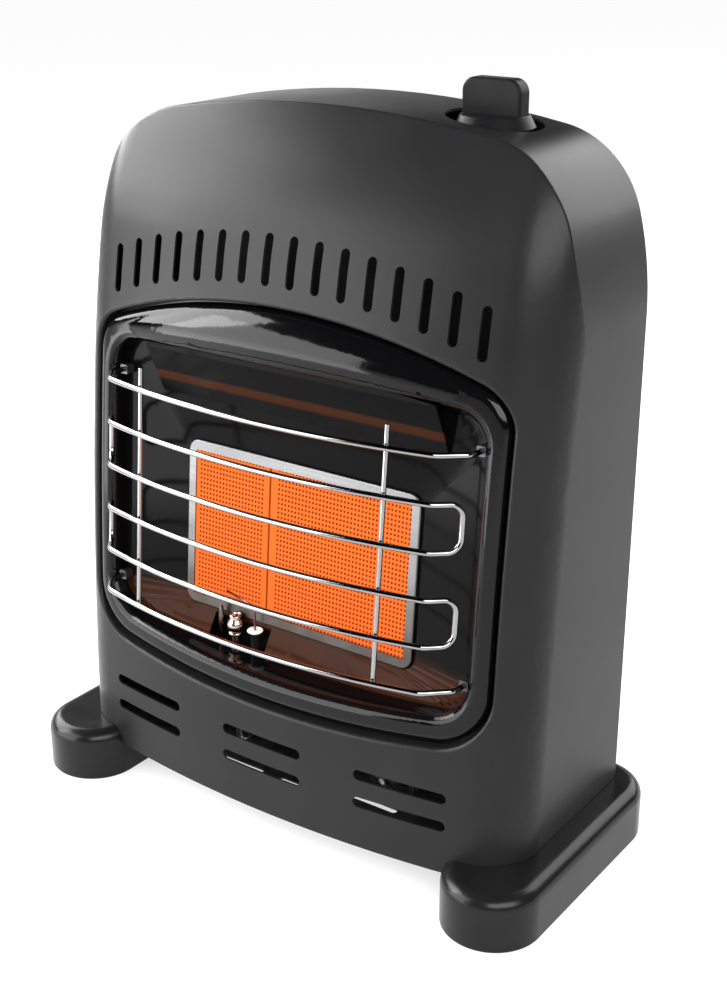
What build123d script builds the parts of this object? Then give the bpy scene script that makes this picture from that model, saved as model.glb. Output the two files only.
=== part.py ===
"""Portable gas cabinet heater: bowed sheet-metal casing, ceramic plaque burner, chrome guard.

Millimetres. X runs across the front, -Y is the front, +Z is up. The origin lies on the floor,
in the middle of the heater's footprint.
"""

import os
from math import asin, cos, degrees, radians, sin, sqrt, tan

from build123d import *

os.makedirs("parts", exist_ok=True)

# ---------------------------------------------------------------- driving dimensions
# casing
CASING_WIDTH = 350
CASING_TOP = 460
CASING_BOTTOM = 25
CASING_REAR = 73.5
FRONT_FOOT_Y = -77            # middle of the front at its lower edge
FRONT_WAIST = (-72.1, 150)    # the front leans back through these (Y, Z) points
FRONT_SHOULDER = (-61.2, 280)
FRONT_BROW = (-47, 374)
FRONT_TOP_Y = -2
BOW_RADIUS = 815              # the front's bow in plan
FRONT_CORNER_RADIUS = 39      # soft upright corner between front and side
TOP_ARCH_RADIUS = 690
SHOULDER_RADIUS = 62.5
UPPER_SIDE_RADIUS = 215
UPPER_SIDE_TURN = 16          # degrees of side curve below the shoulder
TOP_EDGE_RADIUS = 3
TOP_EDGE_START = 372          # height where the crisp top edge has faded into the side corner
SHEET = 1.5
REAR_FLANGE = 11
LIP_DEPTH = 9                 # return lip round the window
LIP_EDGE_RADIUS = 2.4

# louvres in the front
UPPER_SLOTS = 16
UPPER_SLOT_PITCH = 17.85
UPPER_SLOT_LENGTH = 30
UPPER_SLOT_WIDTH = 6
UPPER_SLOT_TOP = 391.5
LOUVRE_ARCH_RADIUS = 400      # the row and the window's head share one arch
LOWER_SLOT_COLUMNS = 3
LOWER_SLOT_SPACING = 101
LOWER_SLOT_HEIGHTS = (56.5, 75.2)
LOWER_SLOT_LENGTH = 62
LOWER_SLOT_WIDTH = 7

# window and bezel
WINDOW_WIDTH = 308.5
WINDOW_HEAD = 349.4
WINDOW_SILL = 99
SILL_ARCH_RADIUS = 1010
WINDOW_TOP_CORNER = 28
WINDOW_SILL_CORNER = 38
BEZEL_GAP = 2
BEZEL_RECESS = 1.5
BEZEL_WALL = 3
BEZEL_OUTER_RADIUS = 7
BEZEL_INNER_RADIUS = 6
BEZEL_FLANGE = 6
BEZEL_FLANGE_SHEET = 2
VISOR_HALF_WIDTH = 122        # the crown over the mouth runs out this far each way
VISOR_CROWN = 6
VISOR_ROLL = 6                # how deep its upper and lower edges roll in
VISOR_TUCK = 3
MOUTH_WIDTH = 277
MOUTH_HEAD = 315
MOUTH_HEAD_RADIUS = 1200
MOUTH_SILL = 118
MOUTH_TOP_CORNER = 20
MOUTH_SILL_CORNER = 26

# firebox: burner, pan and guard share one plane that leans back
FIRE_LEAN = 5
FIRE_Y = -33
FIRE_Z = 191.5
TILE_VIEW_WIDTH = 166.5
TILE_VIEW_HEIGHT = 98
TILE_JOINT_X = -26
TILE_JOINT_GAP = 0.4
TILE_BORDER = 8               # plain strip beside the joint
TILE_GROOVE = 0.6
TILE_THICKNESS = 12
TILE_HIDDEN_EDGE = 2
FRAME_WIDTH = 178.5
FRAME_HEIGHT = 111
FRAME_CORNER = 8
FRAME_SHEET = 1
FRAME_PROUD = 2
FRAME_DEPTH = 16
GASKET_THICKNESS = 2
PLENUM_DEPTH = 26
PLENUM_SHEET = 1
PAN_FRONT = 9                 # distance of the pan's mouth in front of the tiles
PAN_SHEET = 1
PAN_CLEARANCE = 0.5
PLEATS = 7
PLEAT_DEPTH = 2.2
PAN_RIM = 8
FRAME_EDGE_RADIUS = 0.9
PLENUM_WIDTH = 156
PLENUM_HEIGHT = 88
DEFLECTOR_FRONT_Y = -46       # hood under the mouth's head
DEFLECTOR_REAR_Y = -31
DEFLECTOR_REAR_Z = 276
DEFLECTOR_HALF_WIDTH = 108
SPACER_X = 52
SPACER_HEIGHT = 40
SPACER_SCREW_HEIGHTS = (178, 198)

# gas-air mixer below the burner
MIXER_X = 55
MIXER_RADIUS = 11
MIXER_LENGTH = 82
THROAT_RADIUS = 8
BELL_RADIUS = 14
INJECTOR_GAP = 8
INJECTOR_HEX = 6
INJECTOR_HEX_RADIUS = 7
INJECTOR_SHANK = 8
INJECTOR_RADIUS = 4.8

# guard
WIRE_RADIUS = 1.75
UPRIGHT_RADIUS = 1.5
GUARD_BOW_RADIUS = 430
GUARD_REACH = 58.5            # from the tiles to the guard's middle
GUARD_WIRES = 6
GUARD_PITCH = 28.2
GUARD_TOP_V = 94.7
GUARD_BOW_END_X = 118
GUARD_BEND_RADIUS = 12
GUARD_END_ANGLE = 50
LOOP_END_X = 133
LOOP_CORNER_RADIUS = 8
UPRIGHT_X = 91.5
UPRIGHT_TOP_V = 107.5
TAIL_X = 134.3
TAIL_DEPTH = 11
CLIP_SIZE = 6
CLIP_DEPTH = 6.5
WELD = 0.05

# feet
FOOT_LENGTH = 188
FOOT_WIDTH = 63.5
FOOT_HEIGHT = 36
FOOT_CENTRE_X = 163
FOOT_REAR = 97
FOOT_TOP_RADIUS = 9
FOOT_BASE_RADIUS = 1.5
FOOT_WALL = 3
FOOT_BOSS_RADIUS = 6
FIT_CLEARANCE = 0.3

# control
KNOB_X = 89
KNOB_Y = 40.2
KNOB_HOLE_RADIUS = 28.5
SKIRT_RADIUS = 23.6
SKIRT_TOP_RADIUS = 19.6
SKIRT_BASE = 450
SKIRT_TOP = 457
BLADE_LENGTH = 38.5
BLADE_THICKNESS = 11
BLADE_TOP = 477
BLADE_CORNER = 8
KNOB_TRAVEL = 4
STEM_RADIUS = 4
STEM_FIT = 0.05
VALVE_TOP = 422
VALVE_LENGTH = 52
VALVE_HEIGHT = 30
VALVE_DEPTH = 24
VALVE_PORTS = ((75, 3), (92, 2), (108, 4))      # X and tube radius: burner, pilot, supply
VALVE_SCREW_X = 19
VALVE_SCREW_LENGTH = 8
BUSHING_RADIUS = 7
BUSHING_HEIGHT = 4
PORT_LENGTH = 6
TUBE_INSERT = 3
NUT_HEIGHT = 8
BRACKET_SHEET = 1.5
STEM_BOTTOM = 414
STEM_TOP = 451
HUB_BASE = 434
HUB_RADIUS = 12
BLADE_EDGE_RADIUS = 1.6
PUSH_ROD_RADIUS = 2
PUSH_ROD_LENGTH = 14

# pilot group, standing in an opening of the dish's lower slope
PILOT_X = -41                 # middle of the opening
PILOT_Y = -43.8
PILOT_SEAT = 118
PILOT_OPENING = 46
PILOT_TUBE_X = -43.7
PILOT_PROFILE = (
    (2.05, 0), (3, 0), (3, 3), (4.1, 3.4), (4.1, 5), (3.4, 5.6), (3.4, 8.6), (4.3, 9.6), (4.4, 11.4),
    (3.8, 12.8), (2.9, 13.4), (2.7, 15.5), (1.8, 15.5), (1.8, 10), (2.05, 10),
)
THERMOCOUPLE_X = -55.7
THERMOCOUPLE_RADIUS = 1.4
IGNITER_X = -27.8
IGNITER_RADIUS = 2.6
ELECTRODE_RADIUS = 0.7
BRACKET_DROP = 8

# gas line
INLET_X = 108
INLET_Z = 62
INLET_THREAD_RADIUS = 7.94    # 5/8 in flare thread, outside
INLET_THREAD_LENGTH = 11
INLET_NECK_RADIUS = 7.4       # through the panel and the locknut, and as the thread's relief
INLET_RELIEF = 2
SUPPLY_TUBE_RADIUS = 4
BURNER_TUBE_RADIUS = 3
PILOT_TUBE_RADIUS = 2
LEAD_RADIUS = 1.2
SHIELD_Y = 20
SHIELD_SHEET = 1
SHIELD_TOP = 430
SHIELD_FOOT_X = 160
SHIELD_NOTCH_X = 68
HOT_AIR_Z = 395
HOT_AIR_RISE = 22
HOT_AIR_FRONT_Y = -10
HOT_AIR_HALF_WIDTH = 120
BURNER_RUN_Z = 33
PILOT_RUN_Z = 46
INLET_HEX = 9
INLET_HEX_RADIUS = 11
LOCKNUT_THICKNESS = 4

# rear panel and base tray
REAR_SHEET = 1.2
REAR_PANEL_INSET = 3
REAR_VENT_HEIGHTS = (120, 385)
REAR_VENT_LENGTH = 44
REAR_VENT_WIDTH = 5
REAR_VENT_PITCH = 13
REAR_SCREWS = (
    (-168, 60), (-168, 180), (-168, 300), (-90, 447), (90, 447), (168, 300), (168, 180), (168, 60),
)
TRAY_HEIGHT = 13
FOOT_SCREWS = ((150, -42), (150, 50))      # right-hand foot; the left is its mirror
FOOT_SCREW_SEAT = 18
FOOT_HOLLOW = 22
FOOT_RIB = 12
FOOT_RIB_SPACING = 58
SHIELD_FEET = ((-100, 13), (100, 13))

# fasteners
BOSS_RADIUS = 3.5
BOSS_LENGTH = 8
PAN_SCREWS = ((-143, -20), (-143, 60), (143, 60), (143, -20))
SCREW_RADIUS = 2
SCREW_HEAD_RADIUS = 3.5
SCREW_HEAD = 2.2

FRONT_CUT = 140               # longer than any cut through the front has to be
UPWARD = (Align.CENTER, Align.CENTER, Align.MIN)
DOWNWARD = (Align.CENTER, Align.CENTER, Align.MAX)


# ---------------------------------------------------------------- shared forms
def arc_drop(radius, x):
    """How far an arch of this radius has fallen at x from its crown."""
    return radius - sqrt(radius**2 - x**2)


fire_plane = Plane(
    origin=(0, FIRE_Y, FIRE_Z),
    x_dir=(1, 0, 0),
    z_dir=(0, -cos(radians(FIRE_LEAN)), sin(radians(FIRE_LEAN))),
)


def side_start():
    """Height where the straight side ends, from the arch, shoulder and upper side radii."""
    turn = radians(UPPER_SIDE_TURN)
    inner = UPPER_SIDE_RADIUS - SHOULDER_RADIUS
    shoulder_x = CASING_WIDTH / 2 - UPPER_SIDE_RADIUS + inner * cos(turn)
    reach = TOP_ARCH_RADIUS - SHOULDER_RADIUS
    shoulder_z = CASING_TOP - TOP_ARCH_RADIUS + sqrt(reach**2 - shoulder_x**2)
    return shoulder_z - inner * sin(turn), shoulder_x, shoulder_z


def casing_outline(inset, bottom):
    """Front view of the casing, drawn in by inset: straight sides, shoulders and arched top."""
    start_z, shoulder_x, shoulder_z = side_start()
    half = CASING_WIDTH / 2 - inset
    turn = radians(UPPER_SIDE_TURN)
    side_radius = UPPER_SIDE_RADIUS - inset
    shoulder_radius = SHOULDER_RADIUS - inset
    side_end = (
        half - side_radius * (1 - cos(turn)),
        start_z + side_radius * sin(turn),
    )
    arch_angle = asin(shoulder_x / (TOP_ARCH_RADIUS - SHOULDER_RADIUS))
    shoulder_end = (
        shoulder_x + shoulder_radius * sin(arch_angle),
        shoulder_z + shoulder_radius * cos(arch_angle),
    )
    with BuildSketch(Plane.XZ) as outline:
        with BuildLine():
            Line((0, bottom), (half, bottom))
            side = Line((half, bottom), (half, start_z))
            bulge = TangentArc(side @ 1, side_end, tangent=side % 1)
            shoulder = TangentArc(bulge @ 1, shoulder_end, tangent=bulge % 1)
            TangentArc(shoulder @ 1, (0, CASING_TOP - inset), tangent=shoulder % 1)
            mirror(about=Plane.YZ)
        make_face()
    return outline.sketch


def front_profile():
    """Side view of the front, (Y, Z): three tangent arcs from the lower edge to the top."""
    lower = ThreePointArc(
        (FRONT_FOOT_Y, CASING_BOTTOM), FRONT_WAIST, FRONT_SHOULDER, mode=Mode.PRIVATE
    )
    middle = TangentArc(lower @ 1, FRONT_BROW, tangent=lower % 1, mode=Mode.PRIVATE)
    upper = TangentArc(
        middle @ 1, (FRONT_TOP_Y, CASING_TOP), tangent=middle % 1, mode=Mode.PRIVATE
    )
    return lower, middle, upper


front_arcs = front_profile()


def front_y(x, z):
    """Where the bowed front lies at x, for a height z between its shoulder and its brow."""
    centre = front_arcs[1].arc_center
    profile_y = centre.X - sqrt(front_arcs[1].radius ** 2 - (z - centre.Y) ** 2)
    axis_y = FRONT_FOOT_Y + BOW_RADIUS
    return axis_y - sqrt((axis_y - profile_y) ** 2 - x**2)


def drawn_in(edge, at, inset):
    """A point of the front's profile, moved into the casing by inset."""
    run = edge % at
    return (edge @ at) + Vector(run.Y, -run.X) * inset


def casing_form(inset, rear=CASING_REAR, bottom=CASING_BOTTOM - 5):
    """The casing as a solid, drawn in by inset: bowed, leaning front, soft corners, arched top."""
    width = CASING_WIDTH - 2 * inset
    axis_y = FRONT_FOOT_Y + BOW_RADIUS
    with BuildPart() as form:
        with BuildSketch(Plane.YZ):
            with BuildLine():
                profile = [
                    ThreePointArc(*[drawn_in(arc, at, inset) for at in (0, 0.5, 1)])
                    for arc in front_arcs
                ]
                toe = profile[0] @ 0 - (profile[0] % 0) * 50
                crown = profile[2] @ 1 + (profile[2] % 1) * 50
                Line(profile[0] @ 0, toe)
                Line(profile[2] @ 1, crown)
                Polyline(toe, (axis_y, toe.Y), (axis_y, crown.Y), crown)
            make_face()
        revolve(axis=Axis((0, axis_y, 0), (0, 0, 1)))
        with Locations((0, rear, bottom)):
            Box(
                width,
                rear + 2 * abs(FRONT_FOOT_Y),
                CASING_TOP - bottom + 10,
                align=(Align.CENTER, Align.MAX, Align.MIN),
                mode=Mode.INTERSECT,
            )
        corners = (
            form.edges()
            .filter_by(lambda edge: abs(abs(edge.center().X) - width / 2) < 0.01)
            .filter_by(lambda edge: edge.center().Y < 0)
            .filter_by(lambda edge: edge.length > 20)
        )
        fillet(corners, FRONT_CORNER_RADIUS - inset)
        extrude(casing_outline(inset, bottom), amount=300, both=True, mode=Mode.INTERSECT)
    return form.part


def arched_opening(width, head, head_radius, sill, sill_radius, corners, inset):
    """Opening with an arched head and sill, drawn in by inset; corners are (head, sill) radii."""
    half = width / 2 - inset
    head_radius = head_radius - inset
    sill_radius = sill_radius - inset
    head = head - inset
    sill = sill + inset
    head_end = head - arc_drop(head_radius, half)
    sill_end = sill + arc_drop(sill_radius, half)
    with BuildSketch(Plane.XZ) as opening:
        with BuildLine():
            ThreePointArc((-half, head_end), (0, head), (half, head_end))
            Line((half, head_end), (half, sill_end))
            ThreePointArc((half, sill_end), (0, sill), (-half, sill_end))
            Line((-half, sill_end), (-half, head_end))
        make_face()
        fillet(opening.vertices().group_by(Axis.Y)[-1], corners[0] - inset)
        fillet(opening.vertices().group_by(Axis.Y)[0], corners[1] - inset)
    return opening.sketch


def window_outline(inset):
    """The opening in the casing's front."""
    return arched_opening(
        WINDOW_WIDTH,
        WINDOW_HEAD,
        LOUVRE_ARCH_RADIUS,
        WINDOW_SILL,
        SILL_ARCH_RADIUS,
        (WINDOW_TOP_CORNER, WINDOW_SILL_CORNER),
        inset,
    )


def mouth_outline(inset):
    """The bezel's own opening, through which the firebox shows."""
    return arched_opening(
        MOUTH_WIDTH,
        MOUTH_HEAD,
        MOUTH_HEAD_RADIUS,
        MOUTH_SILL,
        SILL_ARCH_RADIUS,
        (MOUTH_TOP_CORNER, MOUTH_SILL_CORNER),
        inset,
    )


def pan_head_screw(place, length):
    """A screw whose head seats at place and whose shank runs back along its -Z."""
    with Locations(Location(place)):
        Cylinder(SCREW_RADIUS, length, align=(Align.CENTER, Align.CENTER, Align.MAX))
        Cylinder(SCREW_HEAD_RADIUS, SCREW_HEAD, align=(Align.CENTER, Align.CENTER, Align.MIN))
        with Locations((0, 0, SCREW_HEAD)):
            Box(4.4, 1, 1.2, mode=Mode.SUBTRACT)
            Box(1, 4.4, 1.2, mode=Mode.SUBTRACT)


def bent_route(points, bend):
    """Straight runs joined by bends of one radius, drawn in the current BuildLine."""
    points = [Vector(*point) for point in points]
    start = points[0]
    for before, corner, after in zip(points, points[1:], points[2:]):
        arriving = (corner - before).normalized()
        leaving = (after - corner).normalized()
        half_turn = arriving.get_angle(leaving) / 2
        reach = bend * tan(radians(half_turn))
        bisector = (leaving - arriving).normalized()
        centre_distance = bend / cos(radians(half_turn))
        enter = corner - arriving * reach
        leave = corner + leaving * reach
        Line(start, enter)
        ThreePointArc(enter, corner + bisector * (centre_distance - bend), leave)
        start = leave
    Line(start, points[-1])


def bent_tube(points, bend, radius, bore=0):
    """A round tube, rod or lead along a bent route; bore is its inside radius."""
    with BuildPart() as tube:
        with BuildLine() as route:
            bent_route(points, bend)
        with BuildSketch(Plane(origin=route.line @ 0, z_dir=route.line % 0)):
            Circle(radius)
            if bore:
                Circle(bore, mode=Mode.SUBTRACT)
        sweep()
    return tube.part


# ---------------------------------------------------------------- casing
solid_casing = casing_form(0, bottom=CASING_BOTTOM)

with BuildPart() as crisp_top:
    add(solid_casing)
    split(bisect_by=Plane.XY.offset(TOP_EDGE_START), keep=Keep.TOP)
    outline_faces = crisp_top.faces().filter_by(
        lambda face: abs(face.normal_at(face.center()).Y) < 0.01
        and face.normal_at(face.center()).Z > -0.5
    )
    front_rim = (
        outline_faces.edges()
        .filter_by(GeomType.LINE, reverse=True)
        .filter_by(lambda edge: edge.center().Y < CASING_REAR - 5)
    )
    fillet(front_rim, TOP_EDGE_RADIUS)

with BuildPart() as casing_cavity:
    add(casing_form(SHEET, rear=CASING_REAR - SHEET))
    extrude(window_outline(-SHEET), amount=FRONT_CUT, mode=Mode.SUBTRACT)
    add(casing_form(LIP_DEPTH, rear=CASING_REAR - SHEET))

with BuildPart() as front_shell:
    add(solid_casing)
    split(bisect_by=Plane.XY.offset(TOP_EDGE_START), keep=Keep.BOTTOM)
    add(crisp_top.part)
    extrude(window_outline(0), amount=FRONT_CUT, mode=Mode.SUBTRACT)
    window_rim = (
        front_shell.edges(Select.LAST)
        .filter_by(GeomType.LINE, reverse=True)
        .filter_by(lambda edge: edge.center().Y < FIRE_Y)
    )
    fillet(window_rim, LIP_EDGE_RADIUS)
    add(casing_cavity.part, mode=Mode.SUBTRACT)
    extrude(
        casing_outline(SHEET + REAR_FLANGE, CASING_BOTTOM - 5),
        amount=-CASING_REAR - 5,
        mode=Mode.SUBTRACT,
    )
    with BuildSketch(Plane.XZ) as louvres:
        for number in range(UPPER_SLOTS):
            x = (number - (UPPER_SLOTS - 1) / 2) * UPPER_SLOT_PITCH
            top = UPPER_SLOT_TOP - arc_drop(LOUVRE_ARCH_RADIUS, x)
            with Locations((x, top - UPPER_SLOT_LENGTH / 2)):
                SlotOverall(UPPER_SLOT_LENGTH, UPPER_SLOT_WIDTH, rotation=90)
        for height in LOWER_SLOT_HEIGHTS:
            with Locations((0, height)):
                with GridLocations(LOWER_SLOT_SPACING, 1, LOWER_SLOT_COLUMNS, 1):
                    SlotOverall(LOWER_SLOT_LENGTH, LOWER_SLOT_WIDTH)
    extrude(amount=FRONT_CUT, mode=Mode.SUBTRACT)
    with Locations((KNOB_X, KNOB_Y, CASING_TOP)):
        Cylinder(KNOB_HOLE_RADIUS, 40, mode=Mode.SUBTRACT)
    with BuildSketch(Plane.XZ.offset(-CASING_REAR)):
        with Locations(*REAR_SCREWS):
            Circle(SCREW_RADIUS + STEM_FIT)
    extrude(amount=2 * SHEET, mode=Mode.SUBTRACT)
front_shell.part.label = "front_shell"
export_step(front_shell.part, "parts/front_shell.step")

with BuildPart() as rear_panel:
    extrude(
        casing_outline(REAR_PANEL_INSET, CASING_BOTTOM + REAR_PANEL_INSET),
        amount=-CASING_REAR - REAR_SHEET,
    )
    split(bisect_by=Plane.XZ.offset(-CASING_REAR), keep=Keep.BOTTOM)
    with BuildSketch(Plane.XZ.offset(-CASING_REAR)):
        with Locations(*REAR_SCREWS):
            Circle(SCREW_RADIUS + STEM_FIT)
        with Locations((INLET_X, INLET_Z)):
            Circle(INLET_THREAD_RADIUS + FIT_CLEARANCE)
        for height in REAR_VENT_HEIGHTS:
            with Locations((0, height)):
                with GridLocations(REAR_VENT_LENGTH + 10, REAR_VENT_PITCH, 4, 5):
                    SlotOverall(REAR_VENT_LENGTH, REAR_VENT_WIDTH)
    extrude(amount=-2 * REAR_SHEET, mode=Mode.SUBTRACT)
rear_panel.part.label = "rear_panel"
export_step(rear_panel.part, "parts/rear_panel.step")

with BuildPart() as rear_panel_screws:
    for x, z in REAR_SCREWS:
        pan_head_screw(Plane((x, CASING_REAR + REAR_SHEET, z), z_dir=(0, 1, 0)), 7)
rear_panel_screws.part.label = "rear_panel_screws"
export_step(rear_panel_screws.part, "parts/rear_panel_screws.step")

# ---------------------------------------------------------------- base and feet
pan_inset = SHEET + FIT_CLEARANCE
with BuildPart() as tray_hollow:
    add(casing_form(pan_inset + REAR_SHEET, rear=CASING_REAR - SHEET - FIT_CLEARANCE - REAR_SHEET))
    split(bisect_by=Plane.XY.offset(CASING_BOTTOM + REAR_SHEET), keep=Keep.TOP)

with BuildPart() as base_pan:
    add(casing_form(pan_inset, rear=CASING_REAR - SHEET - FIT_CLEARANCE))
    split(bisect_by=Plane.XY.offset(CASING_BOTTOM), keep=Keep.TOP)
    split(bisect_by=Plane.XY.offset(CASING_BOTTOM + TRAY_HEIGHT), keep=Keep.BOTTOM)
    add(tray_hollow.part, mode=Mode.SUBTRACT)
    with BuildSketch(Plane.XY.offset(CASING_BOTTOM)):
        with Locations(*FOOT_SCREWS, *[(-x, y) for x, y in FOOT_SCREWS], *SHIELD_FEET):
            Circle(SCREW_RADIUS + STEM_FIT)
        with Locations((-20, 45), (-20, -35)):
            with GridLocations(50, 12, 4, 2):
                SlotOverall(36, 5)
    extrude(amount=2 * REAR_SHEET, mode=Mode.SUBTRACT)
base_pan.part.label = "base_pan"
export_step(base_pan.part, "parts/base_pan.step")

with BuildPart() as casing_seat:
    add(casing_form(-FIT_CLEARANCE, rear=CASING_REAR + REAR_SHEET + FIT_CLEARANCE))
    split(bisect_by=Plane.XY.offset(CASING_BOTTOM), keep=Keep.TOP)

foot_middle_y = FOOT_REAR - FOOT_LENGTH / 2
for side, label in ((-1, "foot_left"), (1, "foot_right")):
    foot_centre = (side * FOOT_CENTRE_X, foot_middle_y)
    with BuildPart() as foot:
        with BuildSketch():
            with Locations(foot_centre):
                SlotOverall(FOOT_LENGTH, FOOT_WIDTH, rotation=90)
        extrude(amount=FOOT_HEIGHT)
        fillet(foot.faces().sort_by(Axis.Z)[-1].edges(), FOOT_TOP_RADIUS)
        fillet(foot.faces().sort_by(Axis.Z)[0].edges(), FOOT_BASE_RADIUS)
        add(casing_seat.part, mode=Mode.SUBTRACT)
        with BuildSketch():
            with Locations(foot_centre):
                SlotOverall(FOOT_LENGTH - 2 * FOOT_WALL, FOOT_WIDTH - 2 * FOOT_WALL, rotation=90)
                with GridLocations(1, FOOT_RIB_SPACING, 1, 3):
                    Rectangle(FOOT_WIDTH, FOOT_RIB, mode=Mode.SUBTRACT)
            with Locations(*[(side * x, y) for x, y in FOOT_SCREWS]):
                Circle(FOOT_BOSS_RADIUS, mode=Mode.SUBTRACT)
        extrude(amount=FOOT_HOLLOW, mode=Mode.SUBTRACT)
        with Locations(*[(side * x, y) for x, y in FOOT_SCREWS]):
            Cylinder(
                SCREW_RADIUS + STEM_FIT, CASING_BOTTOM, align=UPWARD, mode=Mode.SUBTRACT
            )
            Cylinder(
                SCREW_HEAD_RADIUS + FIT_CLEARANCE, FOOT_SCREW_SEAT, align=UPWARD, mode=Mode.SUBTRACT
            )
    foot.part.label = label
    export_step(foot.part, f"parts/{label}.step")

with BuildPart() as foot_screws:
    for side in (-1, 1):
        for x, y in FOOT_SCREWS:
            pan_head_screw(Plane((side * x, y, FOOT_SCREW_SEAT), z_dir=(0, 0, -1)), 11)
foot_screws.part.label = "foot_screws"
export_step(foot_screws.part, "parts/foot_screws.step")

# ---------------------------------------------------------------- bezel round the firebox
flange_depth = LIP_DEPTH + FIT_CLEARANCE
behind_flange = casing_form(flange_depth + BEZEL_FLANGE_SHEET)

with BuildPart() as bezel_hollow:
    add(casing_form(BEZEL_RECESS + BEZEL_WALL))
    extrude(window_outline(BEZEL_GAP + BEZEL_WALL), amount=FRONT_CUT, mode=Mode.INTERSECT)
    extrude(mouth_outline(-BEZEL_WALL), amount=FRONT_CUT, mode=Mode.SUBTRACT)

with BuildPart() as behind_bezel:
    add(behind_flange)
    extrude(mouth_outline(-BEZEL_WALL), amount=FRONT_CUT, mode=Mode.SUBTRACT)

with BuildPart() as behind_pan:
    extrude(mouth_outline(-BEZEL_WALL - 0.5), amount=FRONT_CUT, both=True)
    split(bisect_by=fire_plane.offset(PAN_FRONT), keep=Keep.BOTTOM)

with BuildPart() as bezel_flange:
    add(casing_form(flange_depth))
    add(behind_flange, mode=Mode.SUBTRACT)
    extrude(window_outline(-BEZEL_FLANGE), amount=FRONT_CUT, mode=Mode.INTERSECT)
    extrude(window_outline(BEZEL_GAP + BEZEL_WALL - 0.5), amount=FRONT_CUT, mode=Mode.SUBTRACT)


def in_mouth(point):
    """Whether a point of the bezel belongs to its mouth and not to its outer edge."""
    beside = abs(point.X) < MOUTH_WIDTH / 2 + 5
    return beside and MOUTH_SILL - 5 < point.Z < MOUTH_HEAD + 5


def visor_form(inset):
    """The visor's crown over the mouth, drawn in by inset: fullest in the middle, gone at its ends."""
    with BuildPart() as form:
        for share in (-1, -0.7, -0.35, 0, 0.35, 0.7, 1):
            x = share * VISOR_HALF_WIDTH
            tuck = inset + VISOR_TUCK * share**2
            top = WINDOW_HEAD - BEZEL_GAP - arc_drop(LOUVRE_ARCH_RADIUS, x) - tuck
            head = MOUTH_HEAD - arc_drop(MOUTH_HEAD_RADIUS, x) + tuck
            crown = VISOR_CROWN * (1 - share**2) - inset
            outline = []
            for at, proud in (
                (1, -VISOR_ROLL),
                (0.82, crown / 2 - 1),
                (0.4, crown),
                (0.12, 0.7 * crown - 1),
                (0, -VISOR_ROLL),
            ):
                z = head + at * (top - head)
                outline.append((front_y(x, z) + BEZEL_RECESS - proud, z))
            with BuildSketch(Plane.YZ.offset(x)):
                with BuildLine():
                    Spline(*outline, tangents=[(-1, 0), (1, 0)])
                    Line(outline[-1], outline[0])
                make_face()
        loft()
    return form.part


with BuildPart() as bezel_frame:
    add(casing_form(BEZEL_RECESS))
    extrude(window_outline(BEZEL_GAP), amount=FRONT_CUT, mode=Mode.INTERSECT)
    extrude(mouth_outline(0), amount=FRONT_CUT, mode=Mode.SUBTRACT)
    for radius, outline_edges in (
        (BEZEL_INNER_RADIUS, lambda edge: in_mouth(edge.center())),
        (BEZEL_OUTER_RADIUS, lambda edge: not in_mouth(edge.center())),
    ):
        front_edges = (
            bezel_frame.faces()
            .filter_by(lambda face: abs(face.normal_at(face.center()).Y) < 0.01)
            .edges()
            .filter_by(GeomType.LINE, reverse=True)
            .filter_by(lambda edge: edge.center().Y < FIRE_Y)
            .filter_by(outline_edges)
        )
        fillet(front_edges, radius)
    add(visor_form(0))
    add(bezel_hollow.part, mode=Mode.SUBTRACT)
    add(visor_form(BEZEL_WALL), mode=Mode.SUBTRACT)
    add(behind_bezel.part, mode=Mode.SUBTRACT)
    add(behind_pan.part, mode=Mode.SUBTRACT)
    add(bezel_flange.part)
    with BuildSketch(fire_plane.offset(PAN_FRONT)):
        with Locations(*PAN_SCREWS):
            Circle(BOSS_RADIUS)
    extrude(amount=BOSS_LENGTH)
    with BuildSketch(fire_plane.offset(PAN_FRONT)):
        with Locations(*PAN_SCREWS):
            Circle(SCREW_RADIUS + STEM_FIT)
    extrude(amount=BOSS_LENGTH - PAN_SHEET, mode=Mode.SUBTRACT)
bezel_frame.part.label = "bezel_frame"
export_step(bezel_frame.part, "parts/bezel_frame.step")

# ---------------------------------------------------------------- firebox dish behind the bezel
def on_fire(u, v, w):
    """A point given across, up and out from the fire plane."""
    return fire_plane.from_local_coords(Vector(u, v, w))


def up_the_lean(z):
    """Distance up the fire plane to the dish's rim at height z."""
    lean = radians(FIRE_LEAN)
    return (z - FIRE_Z - PAN_FRONT * sin(lean)) / cos(lean)


def dish_outline(half, top, bottom, drops, corners, pleat):
    """Outline with crowned top and bottom edges (drops at their ends) and pleated lower corners."""
    top_x = half - corners[0]
    sill_x = half - corners[1]
    right = [(sill_x * at, bottom + drops[1] * at**2) for at in (0, 0.5)]
    for number in range(2 * PLEATS + 1):
        angle = radians(90 * number / (2 * PLEATS) - 90)
        reach = corners[1] - pleat * (number % 2)
        right.append(
            (sill_x + reach * cos(angle), bottom + drops[1] + corners[1] + reach * sin(angle))
        )
    for number in range(5):
        angle = radians(22.5 * number)
        right.append(
            (top_x + corners[0] * cos(angle), top - drops[0] - corners[0] * (1 - sin(angle)))
        )
    right += [(top_x * at, top - drops[0] * at**2) for at in (0.5, 0)]
    left = [(-x, y) for x, y in reversed(right[1:-1])]
    return right + left


mouth_drops = (
    arc_drop(MOUTH_HEAD_RADIUS, MOUTH_WIDTH / 2 - MOUTH_TOP_CORNER),
    arc_drop(SILL_ARCH_RADIUS, MOUTH_WIDTH / 2 - MOUTH_SILL_CORNER),
)


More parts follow.
